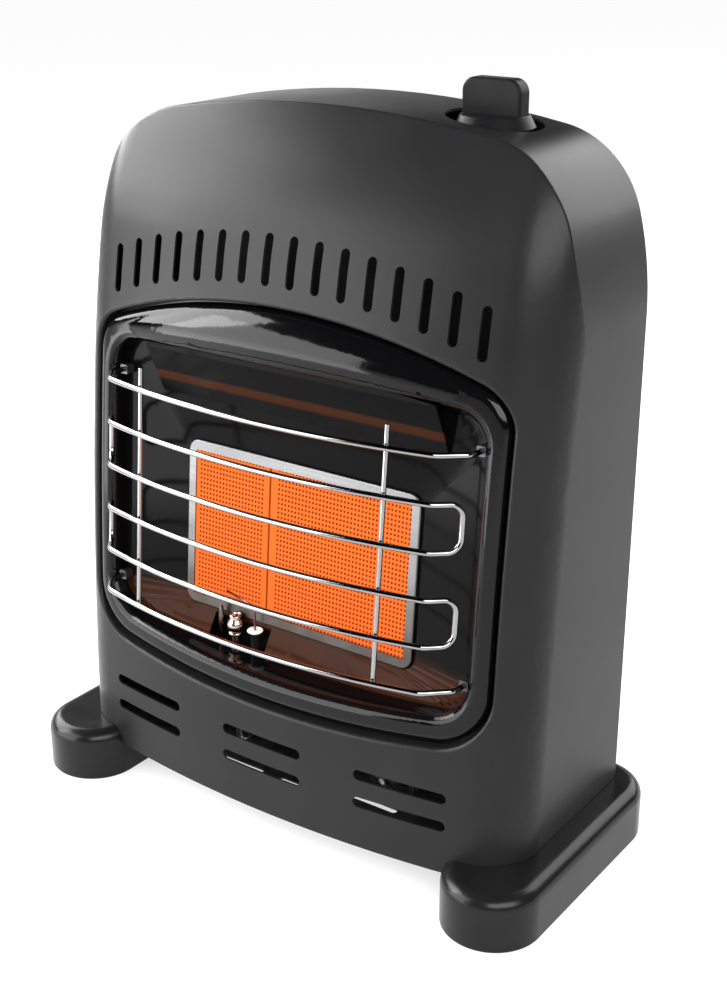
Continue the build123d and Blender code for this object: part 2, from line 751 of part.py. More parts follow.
def dish_rim(outset, pleat):
    """The dish's outline at the bezel's mouth."""
    return dish_outline(
        MOUTH_WIDTH / 2 + outset,
        up_the_lean(MOUTH_HEAD) + outset,
        up_the_lean(MOUTH_SILL) - outset,
        mouth_drops,
        (MOUTH_TOP_CORNER + outset, MOUTH_SILL_CORNER + outset),
        pleat,
    )


dish_throat = dish_outline(
    FRAME_WIDTH / 2 + PAN_CLEARANCE,
    FRAME_HEIGHT / 2 + PAN_CLEARANCE,
    -FRAME_HEIGHT / 2 - PAN_CLEARANCE,
    (0, 0),
    (FRAME_CORNER, FRAME_CORNER),
    0,
)


def dish_form(floor):
    """Solid between the burner's outline at floor and the bezel's mouth."""
    with BuildPart() as form:
        with BuildSketch(fire_plane.offset(floor)):
            with BuildLine():
                Polyline(*dish_throat, close=True)
            make_face()
        with BuildSketch(fire_plane.offset(floor + PAN_FRONT)):
            with BuildLine():
                Polyline(*dish_rim(0, PLEAT_DEPTH), close=True)
            make_face()
        loft(ruled=True)
    return form.part


with BuildPart() as firebox_pan:
    add(dish_form(-PAN_SHEET))
    add(dish_form(0), mode=Mode.SUBTRACT)
    with BuildSketch(fire_plane.offset(PAN_FRONT - PAN_SHEET)):
        with BuildLine():
            Polyline(*dish_rim(PAN_RIM, 0), close=True)
        make_face()
        with BuildLine():
            Polyline(*dish_rim(-1, PLEAT_DEPTH), close=True)
        make_face(mode=Mode.SUBTRACT)
    extrude(amount=PAN_SHEET)
    with BuildSketch(fire_plane.offset(-5)):
        with BuildLine():
            Polyline(*dish_throat, close=True)
        make_face()
        with Locations(*PAN_SCREWS):
            Circle(SCREW_RADIUS + STEM_FIT)
    extrude(amount=20, mode=Mode.SUBTRACT)
    with Locations((PILOT_X, PILOT_Y + 0.5, PILOT_SEAT + FIT_CLEARANCE)):
        Box(PILOT_OPENING, 9, 20, align=UPWARD, mode=Mode.SUBTRACT)
firebox_pan.part.label = "firebox_pan"
export_step(firebox_pan.part, "parts/firebox_pan.step")

with BuildPart() as pan_screws:
    for u, v in PAN_SCREWS:
        seat = on_fire(u, v, PAN_FRONT - PAN_SHEET)
        pan_head_screw(Plane(origin=seat, z_dir=-fire_plane.z_dir), BOSS_LENGTH - PAN_SHEET)
pan_screws.part.label = "pan_screws"
export_step(pan_screws.part, "parts/pan_screws.step")

with BuildPart() as top_deflector:
    with BuildSketch(Plane.YZ):
        with BuildLine():
            Polyline(
                (DEFLECTOR_FRONT_Y, MOUTH_HEAD + 5),
                (DEFLECTOR_FRONT_Y, MOUTH_HEAD - 6),
                (DEFLECTOR_REAR_Y, DEFLECTOR_REAR_Z),
                (DEFLECTOR_REAR_Y + 0.8, DEFLECTOR_REAR_Z + 0.8),
                (DEFLECTOR_FRONT_Y + 1, MOUTH_HEAD - 5),
                (DEFLECTOR_FRONT_Y + 1, MOUTH_HEAD + 5),
                close=True,
            )
        make_face()
    extrude(amount=DEFLECTOR_HALF_WIDTH, both=True)
    extrude(mouth_outline(0), amount=FRONT_CUT, mode=Mode.INTERSECT)
top_deflector.part.label = "top_deflector"
export_step(top_deflector.part, "parts/top_deflector.step")

# ---------------------------------------------------------------- infrared burner
outward = Axis(fire_plane.origin, fire_plane.z_dir)
frame_back = FRAME_PROUD - FRAME_DEPTH
tile_front = FRAME_PROUD - FRAME_SHEET
tile_back = tile_front - TILE_THICKNESS
plenum_front = tile_back - GASKET_THICKNESS
plenum_back = plenum_front - PLENUM_DEPTH

with BuildPart() as burner_frame:
    with BuildSketch(fire_plane.offset(frame_back)):
        RectangleRounded(FRAME_WIDTH, FRAME_HEIGHT, FRAME_CORNER)
    extrude(amount=FRAME_DEPTH)
    fillet(burner_frame.faces().sort_by(outward)[-1].edges(), FRAME_EDGE_RADIUS)
    with BuildSketch(fire_plane.offset(frame_back)):
        RectangleRounded(
            FRAME_WIDTH - 2 * FRAME_SHEET, FRAME_HEIGHT - 2 * FRAME_SHEET, FRAME_CORNER - FRAME_SHEET
        )
    extrude(amount=FRAME_DEPTH - FRAME_SHEET, mode=Mode.SUBTRACT)
    with BuildSketch(fire_plane):
        RectangleRounded(TILE_VIEW_WIDTH, TILE_VIEW_HEIGHT, 1.5)
    extrude(amount=20, mode=Mode.SUBTRACT)
burner_frame.part.label = "burner_frame"
export_step(burner_frame.part, "parts/burner_frame.step")

tile_half = TILE_VIEW_WIDTH / 2 + TILE_HIDDEN_EDGE
tile_height = TILE_VIEW_HEIGHT + 2 * TILE_HIDDEN_EDGE
with BuildPart() as ceramic_tile_left:
    with BuildSketch(fire_plane.offset(tile_back)):
        with Locations((-tile_half, 0)):
            Rectangle(
                tile_half + TILE_JOINT_X - TILE_JOINT_GAP / 2,
                tile_height,
                align=(Align.MIN, Align.CENTER),
            )
    extrude(amount=TILE_THICKNESS)
ceramic_tile_left.part.label = "ceramic_tile_left"
export_step(ceramic_tile_left.part, "parts/ceramic_tile_left.step")

with BuildPart() as ceramic_tile_right:
    with BuildSketch(fire_plane.offset(tile_back)):
        with Locations((tile_half, 0)):
            Rectangle(
                tile_half - TILE_JOINT_X - TILE_JOINT_GAP / 2,
                tile_height,
                align=(Align.MAX, Align.CENTER),
            )
    extrude(amount=TILE_THICKNESS)
    with BuildSketch(fire_plane.offset(tile_front)):
        with Locations((TILE_JOINT_X + TILE_BORDER, 0)):
            Rectangle(TILE_GROOVE, TILE_VIEW_HEIGHT)
    extrude(amount=-TILE_GROOVE, mode=Mode.SUBTRACT)
ceramic_tile_right.part.label = "ceramic_tile_right"
export_step(ceramic_tile_right.part, "parts/ceramic_tile_right.step")

seat_width = FRAME_WIDTH - 2 * FRAME_SHEET - 2 * FIT_CLEARANCE
seat_height = FRAME_HEIGHT - 2 * FRAME_SHEET - 2 * FIT_CLEARANCE
with BuildPart() as burner_gasket:
    with BuildSketch(fire_plane.offset(plenum_front)):
        RectangleRounded(seat_width, seat_height, FRAME_CORNER - 2)
        Rectangle(TILE_VIEW_WIDTH - 8, TILE_VIEW_HEIGHT - 8, mode=Mode.SUBTRACT)
    extrude(amount=GASKET_THICKNESS)
burner_gasket.part.label = "burner_gasket"
export_step(burner_gasket.part, "parts/burner_gasket.step")

mixer_depth = plenum_front - PLENUM_DEPTH / 2 - 1
with BuildPart() as burner_plenum:
    with BuildSketch(fire_plane.offset(plenum_front)):
        RectangleRounded(PLENUM_WIDTH, PLENUM_HEIGHT, 10)
    extrude(amount=-PLENUM_DEPTH)
    fillet(burner_plenum.faces().sort_by(outward)[0].edges(), 6)
    offset(amount=-PLENUM_SHEET, openings=burner_plenum.faces().sort_by(outward)[-1])
    with BuildSketch(fire_plane.offset(plenum_front)):
        RectangleRounded(seat_width, seat_height, FRAME_CORNER - 2)
        RectangleRounded(PLENUM_WIDTH - 1, PLENUM_HEIGHT - 1, 9.5, mode=Mode.SUBTRACT)
    extrude(amount=-PLENUM_SHEET)
    with BuildSketch(
        Plane(origin=on_fire(MIXER_X, -PLENUM_HEIGHT / 2 - 1, mixer_depth), z_dir=fire_plane.y_dir)
    ):
        Circle(MIXER_RADIUS + FIT_CLEARANCE)
    extrude(amount=10, mode=Mode.SUBTRACT)
burner_plenum.part.label = "burner_plenum"
export_step(burner_plenum.part, "parts/burner_plenum.step")

mixer_plane = Plane(
    origin=on_fire(MIXER_X, -PLENUM_HEIGHT / 2, mixer_depth),
    x_dir=(1, 0, 0),
    z_dir=fire_plane.z_dir,
)
with BuildPart() as mixer_tube:
    with BuildSketch(mixer_plane):
        with BuildLine():
            Polyline(
                (MIXER_RADIUS, 8),
                (MIXER_RADIUS, 0),
                (MIXER_RADIUS + 1.3, 0),
                (MIXER_RADIUS + 1.3, -PLENUM_SHEET),
                (MIXER_RADIUS, -PLENUM_SHEET),
                (MIXER_RADIUS, -MIXER_LENGTH / 2),
                (THROAT_RADIUS, 14 - MIXER_LENGTH),
                (THROAT_RADIUS, 10 - MIXER_LENGTH),
                (BELL_RADIUS, -MIXER_LENGTH),
                (BELL_RADIUS - PLENUM_SHEET, -MIXER_LENGTH),
                (THROAT_RADIUS - PLENUM_SHEET, 10 - MIXER_LENGTH),
                (THROAT_RADIUS - PLENUM_SHEET, 14 - MIXER_LENGTH),
                (MIXER_RADIUS - PLENUM_SHEET, -MIXER_LENGTH / 2),
                (MIXER_RADIUS - PLENUM_SHEET, 8),
                close=True,
            )
        make_face()
    revolve(axis=Axis(mixer_plane.origin, mixer_plane.y_dir))
mixer_tube.part.label = "mixer_tube"
export_step(mixer_tube.part, "parts/mixer_tube.step")

injector_plane = Plane(
    origin=mixer_plane.from_local_coords((0, -MIXER_LENGTH - INJECTOR_GAP, 0)),
    x_dir=(1, 0, 0),
    z_dir=mixer_plane.y_dir,
)
with BuildPart() as gas_injector:
    with BuildSketch(injector_plane):
        RegularPolygon(INJECTOR_HEX_RADIUS, 6)
    extrude(amount=-INJECTOR_HEX)
    with BuildSketch(injector_plane):
        Circle(3.5)
    extrude(amount=5, taper=15)
    with BuildSketch(injector_plane.offset(-INJECTOR_HEX)):
        Circle(INJECTOR_RADIUS)
    extrude(amount=-INJECTOR_SHANK)
    with Locations(injector_plane.offset(5)):
        Cylinder(0.6, 30, mode=Mode.SUBTRACT)
    with Locations(injector_plane.offset(-INJECTOR_HEX - INJECTOR_SHANK)):
        Cylinder(BURNER_TUBE_RADIUS + STEM_FIT, 4, mode=Mode.SUBTRACT)
gas_injector.part.label = "gas_injector"
export_step(gas_injector.part, "parts/gas_injector.step")

injector_seat = injector_plane.from_local_coords((0, 0, -INJECTOR_HEX))
bracket_top = injector_seat.Z - 0.6
with BuildPart() as injector_bracket:
    with BuildSketch(Plane.YZ.offset(MIXER_X)):
        with BuildLine():
            Polyline(
                (injector_seat.Y - 9, bracket_top - 1.5),
                (injector_seat.Y - 9, bracket_top),
                (injector_seat.Y + 12, bracket_top),
                (injector_seat.Y + 12, CASING_BOTTOM + REAR_SHEET + 1.5),
                (injector_seat.Y + 22, CASING_BOTTOM + REAR_SHEET + 1.5),
                (injector_seat.Y + 22, CASING_BOTTOM + REAR_SHEET),
                (injector_seat.Y + 10.5, CASING_BOTTOM + REAR_SHEET),
                (injector_seat.Y + 10.5, bracket_top - 1.5),
                close=True,
            )
        make_face()
    extrude(amount=17, both=True)
    with Locations((MIXER_X + 4, injector_seat.Y + 11, CASING_BOTTOM)):
        Box(16, 6, 15, align=UPWARD, mode=Mode.SUBTRACT)
    with Locations((MIXER_X, injector_seat.Y, bracket_top)):
        Cylinder(INJECTOR_RADIUS + 0.5, 10, mode=Mode.SUBTRACT)
injector_bracket.part.label = "injector_bracket"
export_step(injector_bracket.part, "parts/injector_bracket.step")

# spacers between the burner's box and the shield: open-ended box sections
for side, label in ((-1, "burner_bracket_left"), (1, "burner_bracket_right")):
    upper = on_fire(0, SPACER_HEIGHT / 2, plenum_back)
    lower = on_fire(0, -SPACER_HEIGHT / 2, plenum_back)
    with BuildPart() as burner_bracket:
        with BuildSketch(Plane.YZ.offset(side * SPACER_X)):
            with BuildLine():
                Polyline(
                    (upper.Y, upper.Z), (SHIELD_Y, upper.Z), (SHIELD_Y, lower.Z), (lower.Y, lower.Z),
                    close=True,
                )
            make_face()
            offset(amount=-1.2, mode=Mode.SUBTRACT)
        extrude(amount=10, both=True)
        with BuildSketch(Plane.XZ.offset(-SHIELD_Y)):
            with Locations(*[(side * SPACER_X, z) for z in SPACER_SCREW_HEIGHTS]):
                Circle(SCREW_RADIUS + STEM_FIT)
        extrude(amount=3, mode=Mode.SUBTRACT)
    burner_bracket.part.label = label
    export_step(burner_bracket.part, f"parts/{label}.step")

with BuildPart() as burner_screws:
    for side in (-1, 1):
        for z in SPACER_SCREW_HEIGHTS:
            pan_head_screw(
                Plane((side * SPACER_X, SHIELD_Y + SHIELD_SHEET, z), z_dir=(0, 1, 0)), 5
            )
burner_screws.part.label = "burner_screws"
export_step(burner_screws.part, "parts/burner_screws.step")

# ---------------------------------------------------------------- wire guard
def heading(angle):
    """Direction across and back, angle degrees behind straight across."""
    return Vector(cos(radians(angle)), -sin(radians(angle)))


def after_bend(start, before, after, radius):
    """End of a bend that turns further back, from one heading to the next."""
    return start + (heading(before + 90) - heading(after + 90)) * radius


bow_angle = degrees(asin(GUARD_BOW_END_X / GUARD_BOW_RADIUS))
bow_end = Vector(GUARD_BOW_END_X, GUARD_REACH - arc_drop(GUARD_BOW_RADIUS, GUARD_BOW_END_X))
mid_angle = (bow_angle + GUARD_END_ANGLE) / 2
bend_middle = after_bend(bow_end, bow_angle, mid_angle, GUARD_BEND_RADIUS)
bend_end = after_bend(bow_end, bow_angle, GUARD_END_ANGLE, GUARD_BEND_RADIUS)
end_run = heading(GUARD_END_ANGLE)
loop_end = bend_end + end_run * ((LOOP_END_X - bend_end.X) / end_run.X)
loop_corner = loop_end - end_run * LOOP_CORNER_RADIUS
tail_turn = after_bend(Vector(0, 0), GUARD_END_ANGLE, 90, LOOP_CORNER_RADIUS)
tail_corner = bend_end + end_run * ((TAIL_X - tail_turn.X - bend_end.X) / end_run.X)
tail_middle = after_bend(
    tail_corner, GUARD_END_ANGLE, (GUARD_END_ANGLE + 90) / 2, LOOP_CORNER_RADIUS
)
tail_start = tail_corner + tail_turn


def on_wire(point, side, v):
    """A point of a wire's plan, on its left (-1) or right (1) half, at height v up the lean."""
    return on_fire(side * point.X, v, point.Y)


def bowed_run(v, stop):
    """The bowed front of one wire and its turned-back ends as far as stop, in a BuildLine."""
    ThreePointArc(on_wire(bow_end, -1, v), on_fire(0, v, GUARD_REACH), on_wire(bow_end, 1, v))
    for side in (-1, 1):
        ThreePointArc(
            on_wire(bow_end, side, v), on_wire(bend_middle, side, v), on_wire(bend_end, side, v)
        )
        Line(on_wire(bend_end, side, v), on_wire(stop, side, v))


def guard_wire(v):
    """Top or bottom wire, both ends turned straight back into their clips."""
    with BuildPart() as wire:
        with BuildLine() as path:
            bowed_run(v, tail_corner)
            for side in (-1, 1):
                ThreePointArc(
                    on_wire(tail_corner, side, v),
                    on_wire(tail_middle, side, v),
                    on_wire(tail_start, side, v),
                )
                Line(on_wire(tail_start, side, v), on_fire(side * TAIL_X, v, TAIL_DEPTH))
        with BuildSketch(Plane(origin=path.wire() @ 0, z_dir=path.wire() % 0)):
            Circle(WIRE_RADIUS)
        sweep(path=path.wire())
    return wire.part


def guard_loop(upper_v):
    """Two neighbouring levels of the guard bent from one closed wire."""
    lower_v = upper_v - GUARD_PITCH
    half_turn = LOOP_CORNER_RADIUS * sin(radians(45))
    with BuildPart() as loop:
        with BuildLine() as path:
            bowed_run(upper_v, loop_corner)
            bowed_run(lower_v, loop_corner)
            for side in (-1, 1):
                for v, turn in ((upper_v, -1), (lower_v, 1)):
                    ThreePointArc(
                        on_wire(loop_corner, side, v),
                        on_wire(
                            loop_corner + end_run * half_turn,
                            side,
                            v + turn * (LOOP_CORNER_RADIUS - half_turn),
                        ),
                        on_wire(loop_end, side, v + turn * LOOP_CORNER_RADIUS),
                    )
                Line(
                    on_wire(loop_end, side, upper_v - LOOP_CORNER_RADIUS),
                    on_wire(loop_end, side, lower_v + LOOP_CORNER_RADIUS),
                )
        with BuildSketch(Plane(origin=path.wire() @ 0, z_dir=path.wire() % 0)):
            Circle(WIRE_RADIUS)
        sweep(path=path.wire())
    return loop.part


guard_bottom_v = GUARD_TOP_V - (GUARD_WIRES - 1) * GUARD_PITCH
with BuildPart() as guard_top_wire:
    add(guard_wire(GUARD_TOP_V))
guard_top_wire.part.label = "guard_top_wire"
export_step(guard_top_wire.part, "parts/guard_top_wire.step")

with BuildPart() as guard_upper_loop:
    add(guard_loop(GUARD_TOP_V - GUARD_PITCH))
guard_upper_loop.part.label = "guard_upper_loop"
export_step(guard_upper_loop.part, "parts/guard_upper_loop.step")

with BuildPart() as guard_lower_loop:
    add(guard_loop(GUARD_TOP_V - 3 * GUARD_PITCH))
guard_lower_loop.part.label = "guard_lower_loop"
export_step(guard_lower_loop.part, "parts/guard_lower_loop.step")

with BuildPart() as guard_bottom_wire:
    add(guard_wire(guard_bottom_v))
guard_bottom_wire.part.label = "guard_bottom_wire"
export_step(guard_bottom_wire.part, "parts/guard_bottom_wire.step")

upright_w = (
    GUARD_REACH - arc_drop(GUARD_BOW_RADIUS, UPRIGHT_X) - WIRE_RADIUS - UPRIGHT_RADIUS + WELD
)
for side, label in ((-1, "guard_upright_left"), (1, "guard_upright_right")):
    with BuildPart() as upright:
        foot_end = on_fire(side * UPRIGHT_X, guard_bottom_v - 2, upright_w)
        with BuildSketch(Plane(origin=foot_end, z_dir=fire_plane.y_dir)):
            Circle(UPRIGHT_RADIUS)
        extrude(amount=UPRIGHT_TOP_V - guard_bottom_v + 2)
    upright.part.label = label
    export_step(upright.part, f"parts/{label}.step")

with BuildPart() as guard_clips:
    with BuildSketch(fire_plane.offset(PAN_FRONT)):
        for v in (GUARD_TOP_V, guard_bottom_v):
            with Locations((TAIL_X, v), (-TAIL_X, v)):
                RectangleRounded(CLIP_SIZE, CLIP_SIZE, 1)
    extrude(amount=CLIP_DEPTH)
    with BuildSketch(fire_plane.offset(TAIL_DEPTH)):
        for v in (GUARD_TOP_V, guard_bottom_v):
            with Locations((TAIL_X, v), (-TAIL_X, v)):
                Circle(WIRE_RADIUS + STEM_FIT)
    extrude(amount=20, mode=Mode.SUBTRACT)
guard_clips.part.label = "guard_clips"
export_step(guard_clips.part, "parts/guard_clips.step")

# ---------------------------------------------------------------- heat shield and air deflector
tray_floor = CASING_BOTTOM + REAR_SHEET
with BuildPart() as heat_shield:
    extrude(
        casing_outline(pan_inset + REAR_SHEET + FIT_CLEARANCE, tray_floor),
        amount=-SHIELD_Y - SHIELD_SHEET,
    )
    split(bisect_by=Plane.XZ.offset(-SHIELD_Y), keep=Keep.BOTTOM)
    split(bisect_by=Plane.XY.offset(SHIELD_TOP), keep=Keep.BOTTOM)
    with Locations((0, SHIELD_Y, tray_floor)):
        Box(2 * SHIELD_FOOT_X, 14, SHIELD_SHEET, align=(Align.CENTER, Align.MAX, Align.MIN))
    with Locations((SHIELD_NOTCH_X, SHIELD_Y, tray_floor)):
        Box(60, 40, 46, align=UPWARD, mode=Mode.SUBTRACT)
    with BuildSketch(Plane.XY.offset(tray_floor)):
        with Locations(*SHIELD_FEET):
            Circle(SCREW_RADIUS + STEM_FIT)
    extrude(amount=3, mode=Mode.SUBTRACT)
    with BuildSketch(Plane.XZ.offset(-SHIELD_Y)):
        with Locations(*[(side * SPACER_X, z) for side in (-1, 1) for z in SPACER_SCREW_HEIGHTS]):
            Circle(SCREW_RADIUS + STEM_FIT)
    extrude(amount=-3, mode=Mode.SUBTRACT)
heat_shield.part.label = "heat_shield"
export_step(heat_shield.part, "parts/heat_shield.step")

with BuildPart() as shield_screws:
    for x, y in SHIELD_FEET:
        pan_head_screw(Plane((x, y, tray_floor + SHIELD_SHEET), z_dir=(0, 0, 1)), 5)
shield_screws.part.label = "shield_screws"
export_step(shield_screws.part, "parts/shield_screws.step")

with BuildPart() as hot_air_deflector:
    with BuildSketch(Plane.YZ):
        with BuildLine():
            Polyline(
                (SHIELD_Y, HOT_AIR_Z - 12),
                (SHIELD_Y, HOT_AIR_Z + 1),
                (HOT_AIR_FRONT_Y, HOT_AIR_Z + HOT_AIR_RISE + 1),
                (HOT_AIR_FRONT_Y, HOT_AIR_Z + HOT_AIR_RISE),
                (SHIELD_Y - SHIELD_SHEET, HOT_AIR_Z),
                (SHIELD_Y - SHIELD_SHEET, HOT_AIR_Z - 12),
                close=True,
            )
        make_face()
    extrude(amount=HOT_AIR_HALF_WIDTH, both=True)
hot_air_deflector.part.label = "hot_air_deflector"
export_step(hot_air_deflector.part, "parts/hot_air_deflector.step")

# ---------------------------------------------------------------- valve and control knob
valve_base = VALVE_TOP - VALVE_HEIGHT
with BuildPart() as valve_body:
    with Locations((KNOB_X, KNOB_Y, valve_base)):
        Box(VALVE_LENGTH, VALVE_DEPTH, VALVE_HEIGHT, align=UPWARD)
    fillet(valve_body.edges().filter_by(Axis.Z), 4)
    with Locations((KNOB_X, KNOB_Y, VALVE_TOP)):
        Cylinder(BUSHING_RADIUS, BUSHING_HEIGHT, align=UPWARD)
    with BuildSketch(Plane.XY.offset(VALVE_TOP + BUSHING_HEIGHT)):
        with Locations((KNOB_X, KNOB_Y)):
            Circle(STEM_RADIUS + STEM_FIT)
    extrude(amount=STEM_BOTTOM - KNOB_TRAVEL - VALVE_TOP - BUSHING_HEIGHT - 0.3, mode=Mode.SUBTRACT)
    with BuildSketch(Plane.XY.offset(STEM_BOTTOM)):
        with Locations((KNOB_X, KNOB_Y)):
            Circle(PUSH_ROD_RADIUS + FIT_CLEARANCE)
    extrude(amount=-PUSH_ROD_LENGTH - KNOB_TRAVEL - 1, mode=Mode.SUBTRACT)
    with BuildSketch(Plane.XY.offset(valve_base)):
        for x, radius in VALVE_PORTS:
            with Locations((x, KNOB_Y)):
                Circle(radius + 2)
    extrude(amount=-PORT_LENGTH)
    with BuildSketch(Plane.XY.offset(valve_base - PORT_LENGTH)):
        for x, radius in VALVE_PORTS:
            with Locations((x, KNOB_Y)):
                Circle(radius + STEM_FIT)
    extrude(amount=TUBE_INSERT, mode=Mode.SUBTRACT)
    with BuildSketch(Plane.XY.offset(VALVE_TOP)):
        with Locations((KNOB_X - VALVE_SCREW_X, KNOB_Y), (KNOB_X + VALVE_SCREW_X, KNOB_Y)):
            Circle(SCREW_RADIUS + STEM_FIT)
    extrude(amount=-VALVE_SCREW_LENGTH, mode=Mode.SUBTRACT)
valve_body.part.label = "valve_body"
export_step(valve_body.part, "parts/valve_body.step")

with BuildPart() as valve_bracket:
    bracket_depth = KNOB_Y + VALVE_DEPTH / 2 - SHIELD_Y - SHIELD_SHEET
    with Locations((KNOB_X, SHIELD_Y + SHIELD_SHEET, VALVE_TOP)):
        Box(
            VALVE_LENGTH + 6, bracket_depth, BRACKET_SHEET, align=(Align.CENTER, Align.MIN, Align.MIN)
        )
        Box(
            VALVE_LENGTH + 6, BRACKET_SHEET, VALVE_HEIGHT, align=(Align.CENTER, Align.MIN, Align.MAX)
        )
    with BuildSketch(Plane.XY.offset(VALVE_TOP)):
        with Locations((KNOB_X, KNOB_Y)):
            Circle(BUSHING_RADIUS + FIT_CLEARANCE)
        with Locations((KNOB_X - VALVE_SCREW_X, KNOB_Y), (KNOB_X + VALVE_SCREW_X, KNOB_Y)):
            Circle(SCREW_RADIUS + STEM_FIT)
    extrude(amount=2 * BRACKET_SHEET, mode=Mode.SUBTRACT)
valve_bracket.part.label = "valve_bracket"
export_step(valve_bracket.part, "parts/valve_bracket.step")

with BuildPart() as valve_screws:
    for x in (KNOB_X - VALVE_SCREW_X, KNOB_X + VALVE_SCREW_X):
        pan_head_screw(Plane((x, KNOB_Y, VALVE_TOP + BRACKET_SHEET), z_dir=(0, 0, 1)), 7)
valve_screws.part.label = "valve_screws"
export_step(valve_screws.part, "parts/valve_screws.step")

with BuildPart() as push_rod:
    with Locations((KNOB_X, KNOB_Y, STEM_BOTTOM)):
        Cylinder(PUSH_ROD_RADIUS, PUSH_ROD_LENGTH, align=DOWNWARD)
push_rod.part.label = "push_rod"
export_step(push_rod.part, "parts/push_rod.step")

with BuildPart() as valve_stem:
    with Locations((KNOB_X, KNOB_Y, STEM_BOTTOM)):
        Cylinder(STEM_RADIUS, STEM_TOP - STEM_BOTTOM, align=UPWARD)
    chamfer(valve_stem.edges().sort_by(Axis.Z)[-1], 0.8)
valve_stem.part.label = "valve_stem"
export_step(valve_stem.part, "parts/valve_stem.step")

with BuildPart() as knob_blade:
    with BuildSketch(Plane.XZ.offset(-KNOB_Y)):
        with Locations((KNOB_X, SKIRT_TOP - 3)):
            Rectangle(BLADE_LENGTH, BLADE_TOP - SKIRT_TOP + 3, align=(Align.CENTER, Align.MIN))
    extrude(amount=BLADE_THICKNESS / 2, both=True)
    fillet(knob_blade.faces().sort_by(Axis.Z)[-1].edges().filter_by(Axis.Y), BLADE_CORNER)
    blade_rims = (
        knob_blade.faces()
        .filter_by(Axis.Y)
        .edges()
        .filter_by(lambda edge: edge.center().Z > SKIRT_TOP - 2)
    )
    fillet(blade_rims, BLADE_EDGE_RADIUS)

with BuildPart() as control_knob:
    with Locations((KNOB_X, KNOB_Y, SKIRT_BASE)):
        Cone(SKIRT_RADIUS, SKIRT_TOP_RADIUS, SKIRT_TOP - SKIRT_BASE, align=UPWARD)
        Cylinder(HUB_RADIUS, SKIRT_BASE - HUB_BASE, align=DOWNWARD)
    fillet(control_knob.edges().group_by(Axis.Z)[-1], 1.5)
    add(knob_blade.part)
    with BuildSketch(Plane.XY.offset(HUB_BASE)):
        with Locations((KNOB_X, KNOB_Y)):
            Circle(STEM_RADIUS + STEM_FIT)
    extrude(amount=STEM_TOP - HUB_BASE + FIT_CLEARANCE, mode=Mode.SUBTRACT)
control_knob.part.label = "control_knob"
export_step(control_knob.part, "parts/control_knob.step")

# ---------------------------------------------------------------- gas line
inlet_back = Plane((INLET_X, CASING_REAR, INLET_Z), x_dir=(1, 0, 0), z_dir=(0, 1, 0))
thread_start = REAR_SHEET + LOCKNUT_THICKNESS + INLET_RELIEF
with BuildPart() as gas_inlet_fitting:
    with BuildSketch(inlet_back):
        RegularPolygon(INLET_HEX_RADIUS, 6)
    extrude(amount=-INLET_HEX)
    with BuildSketch(inlet_back):
        Circle(INLET_NECK_RADIUS)
    extrude(amount=thread_start)
    with BuildSketch(inlet_back.offset(thread_start)):
        Circle(INLET_THREAD_RADIUS)
    extrude(amount=INLET_THREAD_LENGTH)
    with BuildSketch(inlet_back.offset(thread_start + INLET_THREAD_LENGTH)):
        Circle(INLET_THREAD_RADIUS - 1)
    extrude(amount=3, taper=40)
    with Locations(inlet_back):
        Cylinder(3, 60, mode=Mode.SUBTRACT)
    with BuildSketch(inlet_back.offset(-INLET_HEX)):
        Circle(SUPPLY_TUBE_RADIUS + STEM_FIT)
    extrude(amount=TUBE_INSERT, mode=Mode.SUBTRACT)
gas_inlet_fitting.part.label = "gas_inlet_fitting"
export_step(gas_inlet_fitting.part, "parts/gas_inlet_fitting.step")

with BuildPart() as inlet_locknut:
    with BuildSketch(inlet_back.offset(REAR_SHEET)):
        RegularPolygon(INLET_HEX_RADIUS + 1, 6)
        Circle(INLET_NECK_RADIUS + STEM_FIT, mode=Mode.SUBTRACT)
    extrude(amount=LOCKNUT_THICKNESS)
inlet_locknut.part.label = "inlet_locknut"
export_step(inlet_locknut.part, "parts/inlet_locknut.step")

tube_top = valve_base - PORT_LENGTH + TUBE_INSERT
burner_port_x, pilot_port_x, supply_port_x = [x for x, radius in VALVE_PORTS]
injector_tail = INJECTOR_HEX + INJECTOR_SHANK
supply_route = (
    (supply_port_x, CASING_REAR - INLET_HEX + TUBE_INSERT, INLET_Z),
    (supply_port_x, KNOB_Y, INLET_Z),
    (supply_port_x, KNOB_Y, tube_top),
)
burner_route = (
    (burner_port_x, KNOB_Y, tube_top),
    (burner_port_x, KNOB_Y, BURNER_RUN_Z),
    injector_plane.from_local_coords((0, 0, -injector_tail - 9)),
    injector_plane.from_local_coords((0, 0, TUBE_INSERT / 2 - injector_tail)),
)
pilot_route = (
    (pilot_port_x, KNOB_Y, tube_top),
    (pilot_port_x, KNOB_Y, PILOT_RUN_Z),
    (pilot_port_x, 8, PILOT_RUN_Z),
    (PILOT_TUBE_X, 8, PILOT_RUN_Z),
    (PILOT_TUBE_X, PILOT_Y, PILOT_RUN_Z),
    (PILOT_TUBE_X, PILOT_Y, PILOT_SEAT + 1),
)
with BuildPart() as supply_tube:
    add(bent_tube(supply_route, 14, SUPPLY_TUBE_RADIUS, SUPPLY_TUBE_RADIUS - 0.8))
supply_tube.part.label = "supply_tube"
export_step(supply_tube.part, "parts/supply_tube.step")

with BuildPart() as burner_tube:
    add(bent_tube(burner_route, 8, BURNER_TUBE_RADIUS, BURNER_TUBE_RADIUS - 0.7))
burner_tube.part.label = "burner_tube"
export_step(burner_tube.part, "parts/burner_tube.step")

with BuildPart() as pilot_tube:
    add(bent_tube(pilot_route, 8, PILOT_TUBE_RADIUS, PILOT_TUBE_RADIUS - 0.6))
pilot_tube.part.label = "pilot_tube"
export_step(pilot_tube.part, "parts/pilot_tube.step")


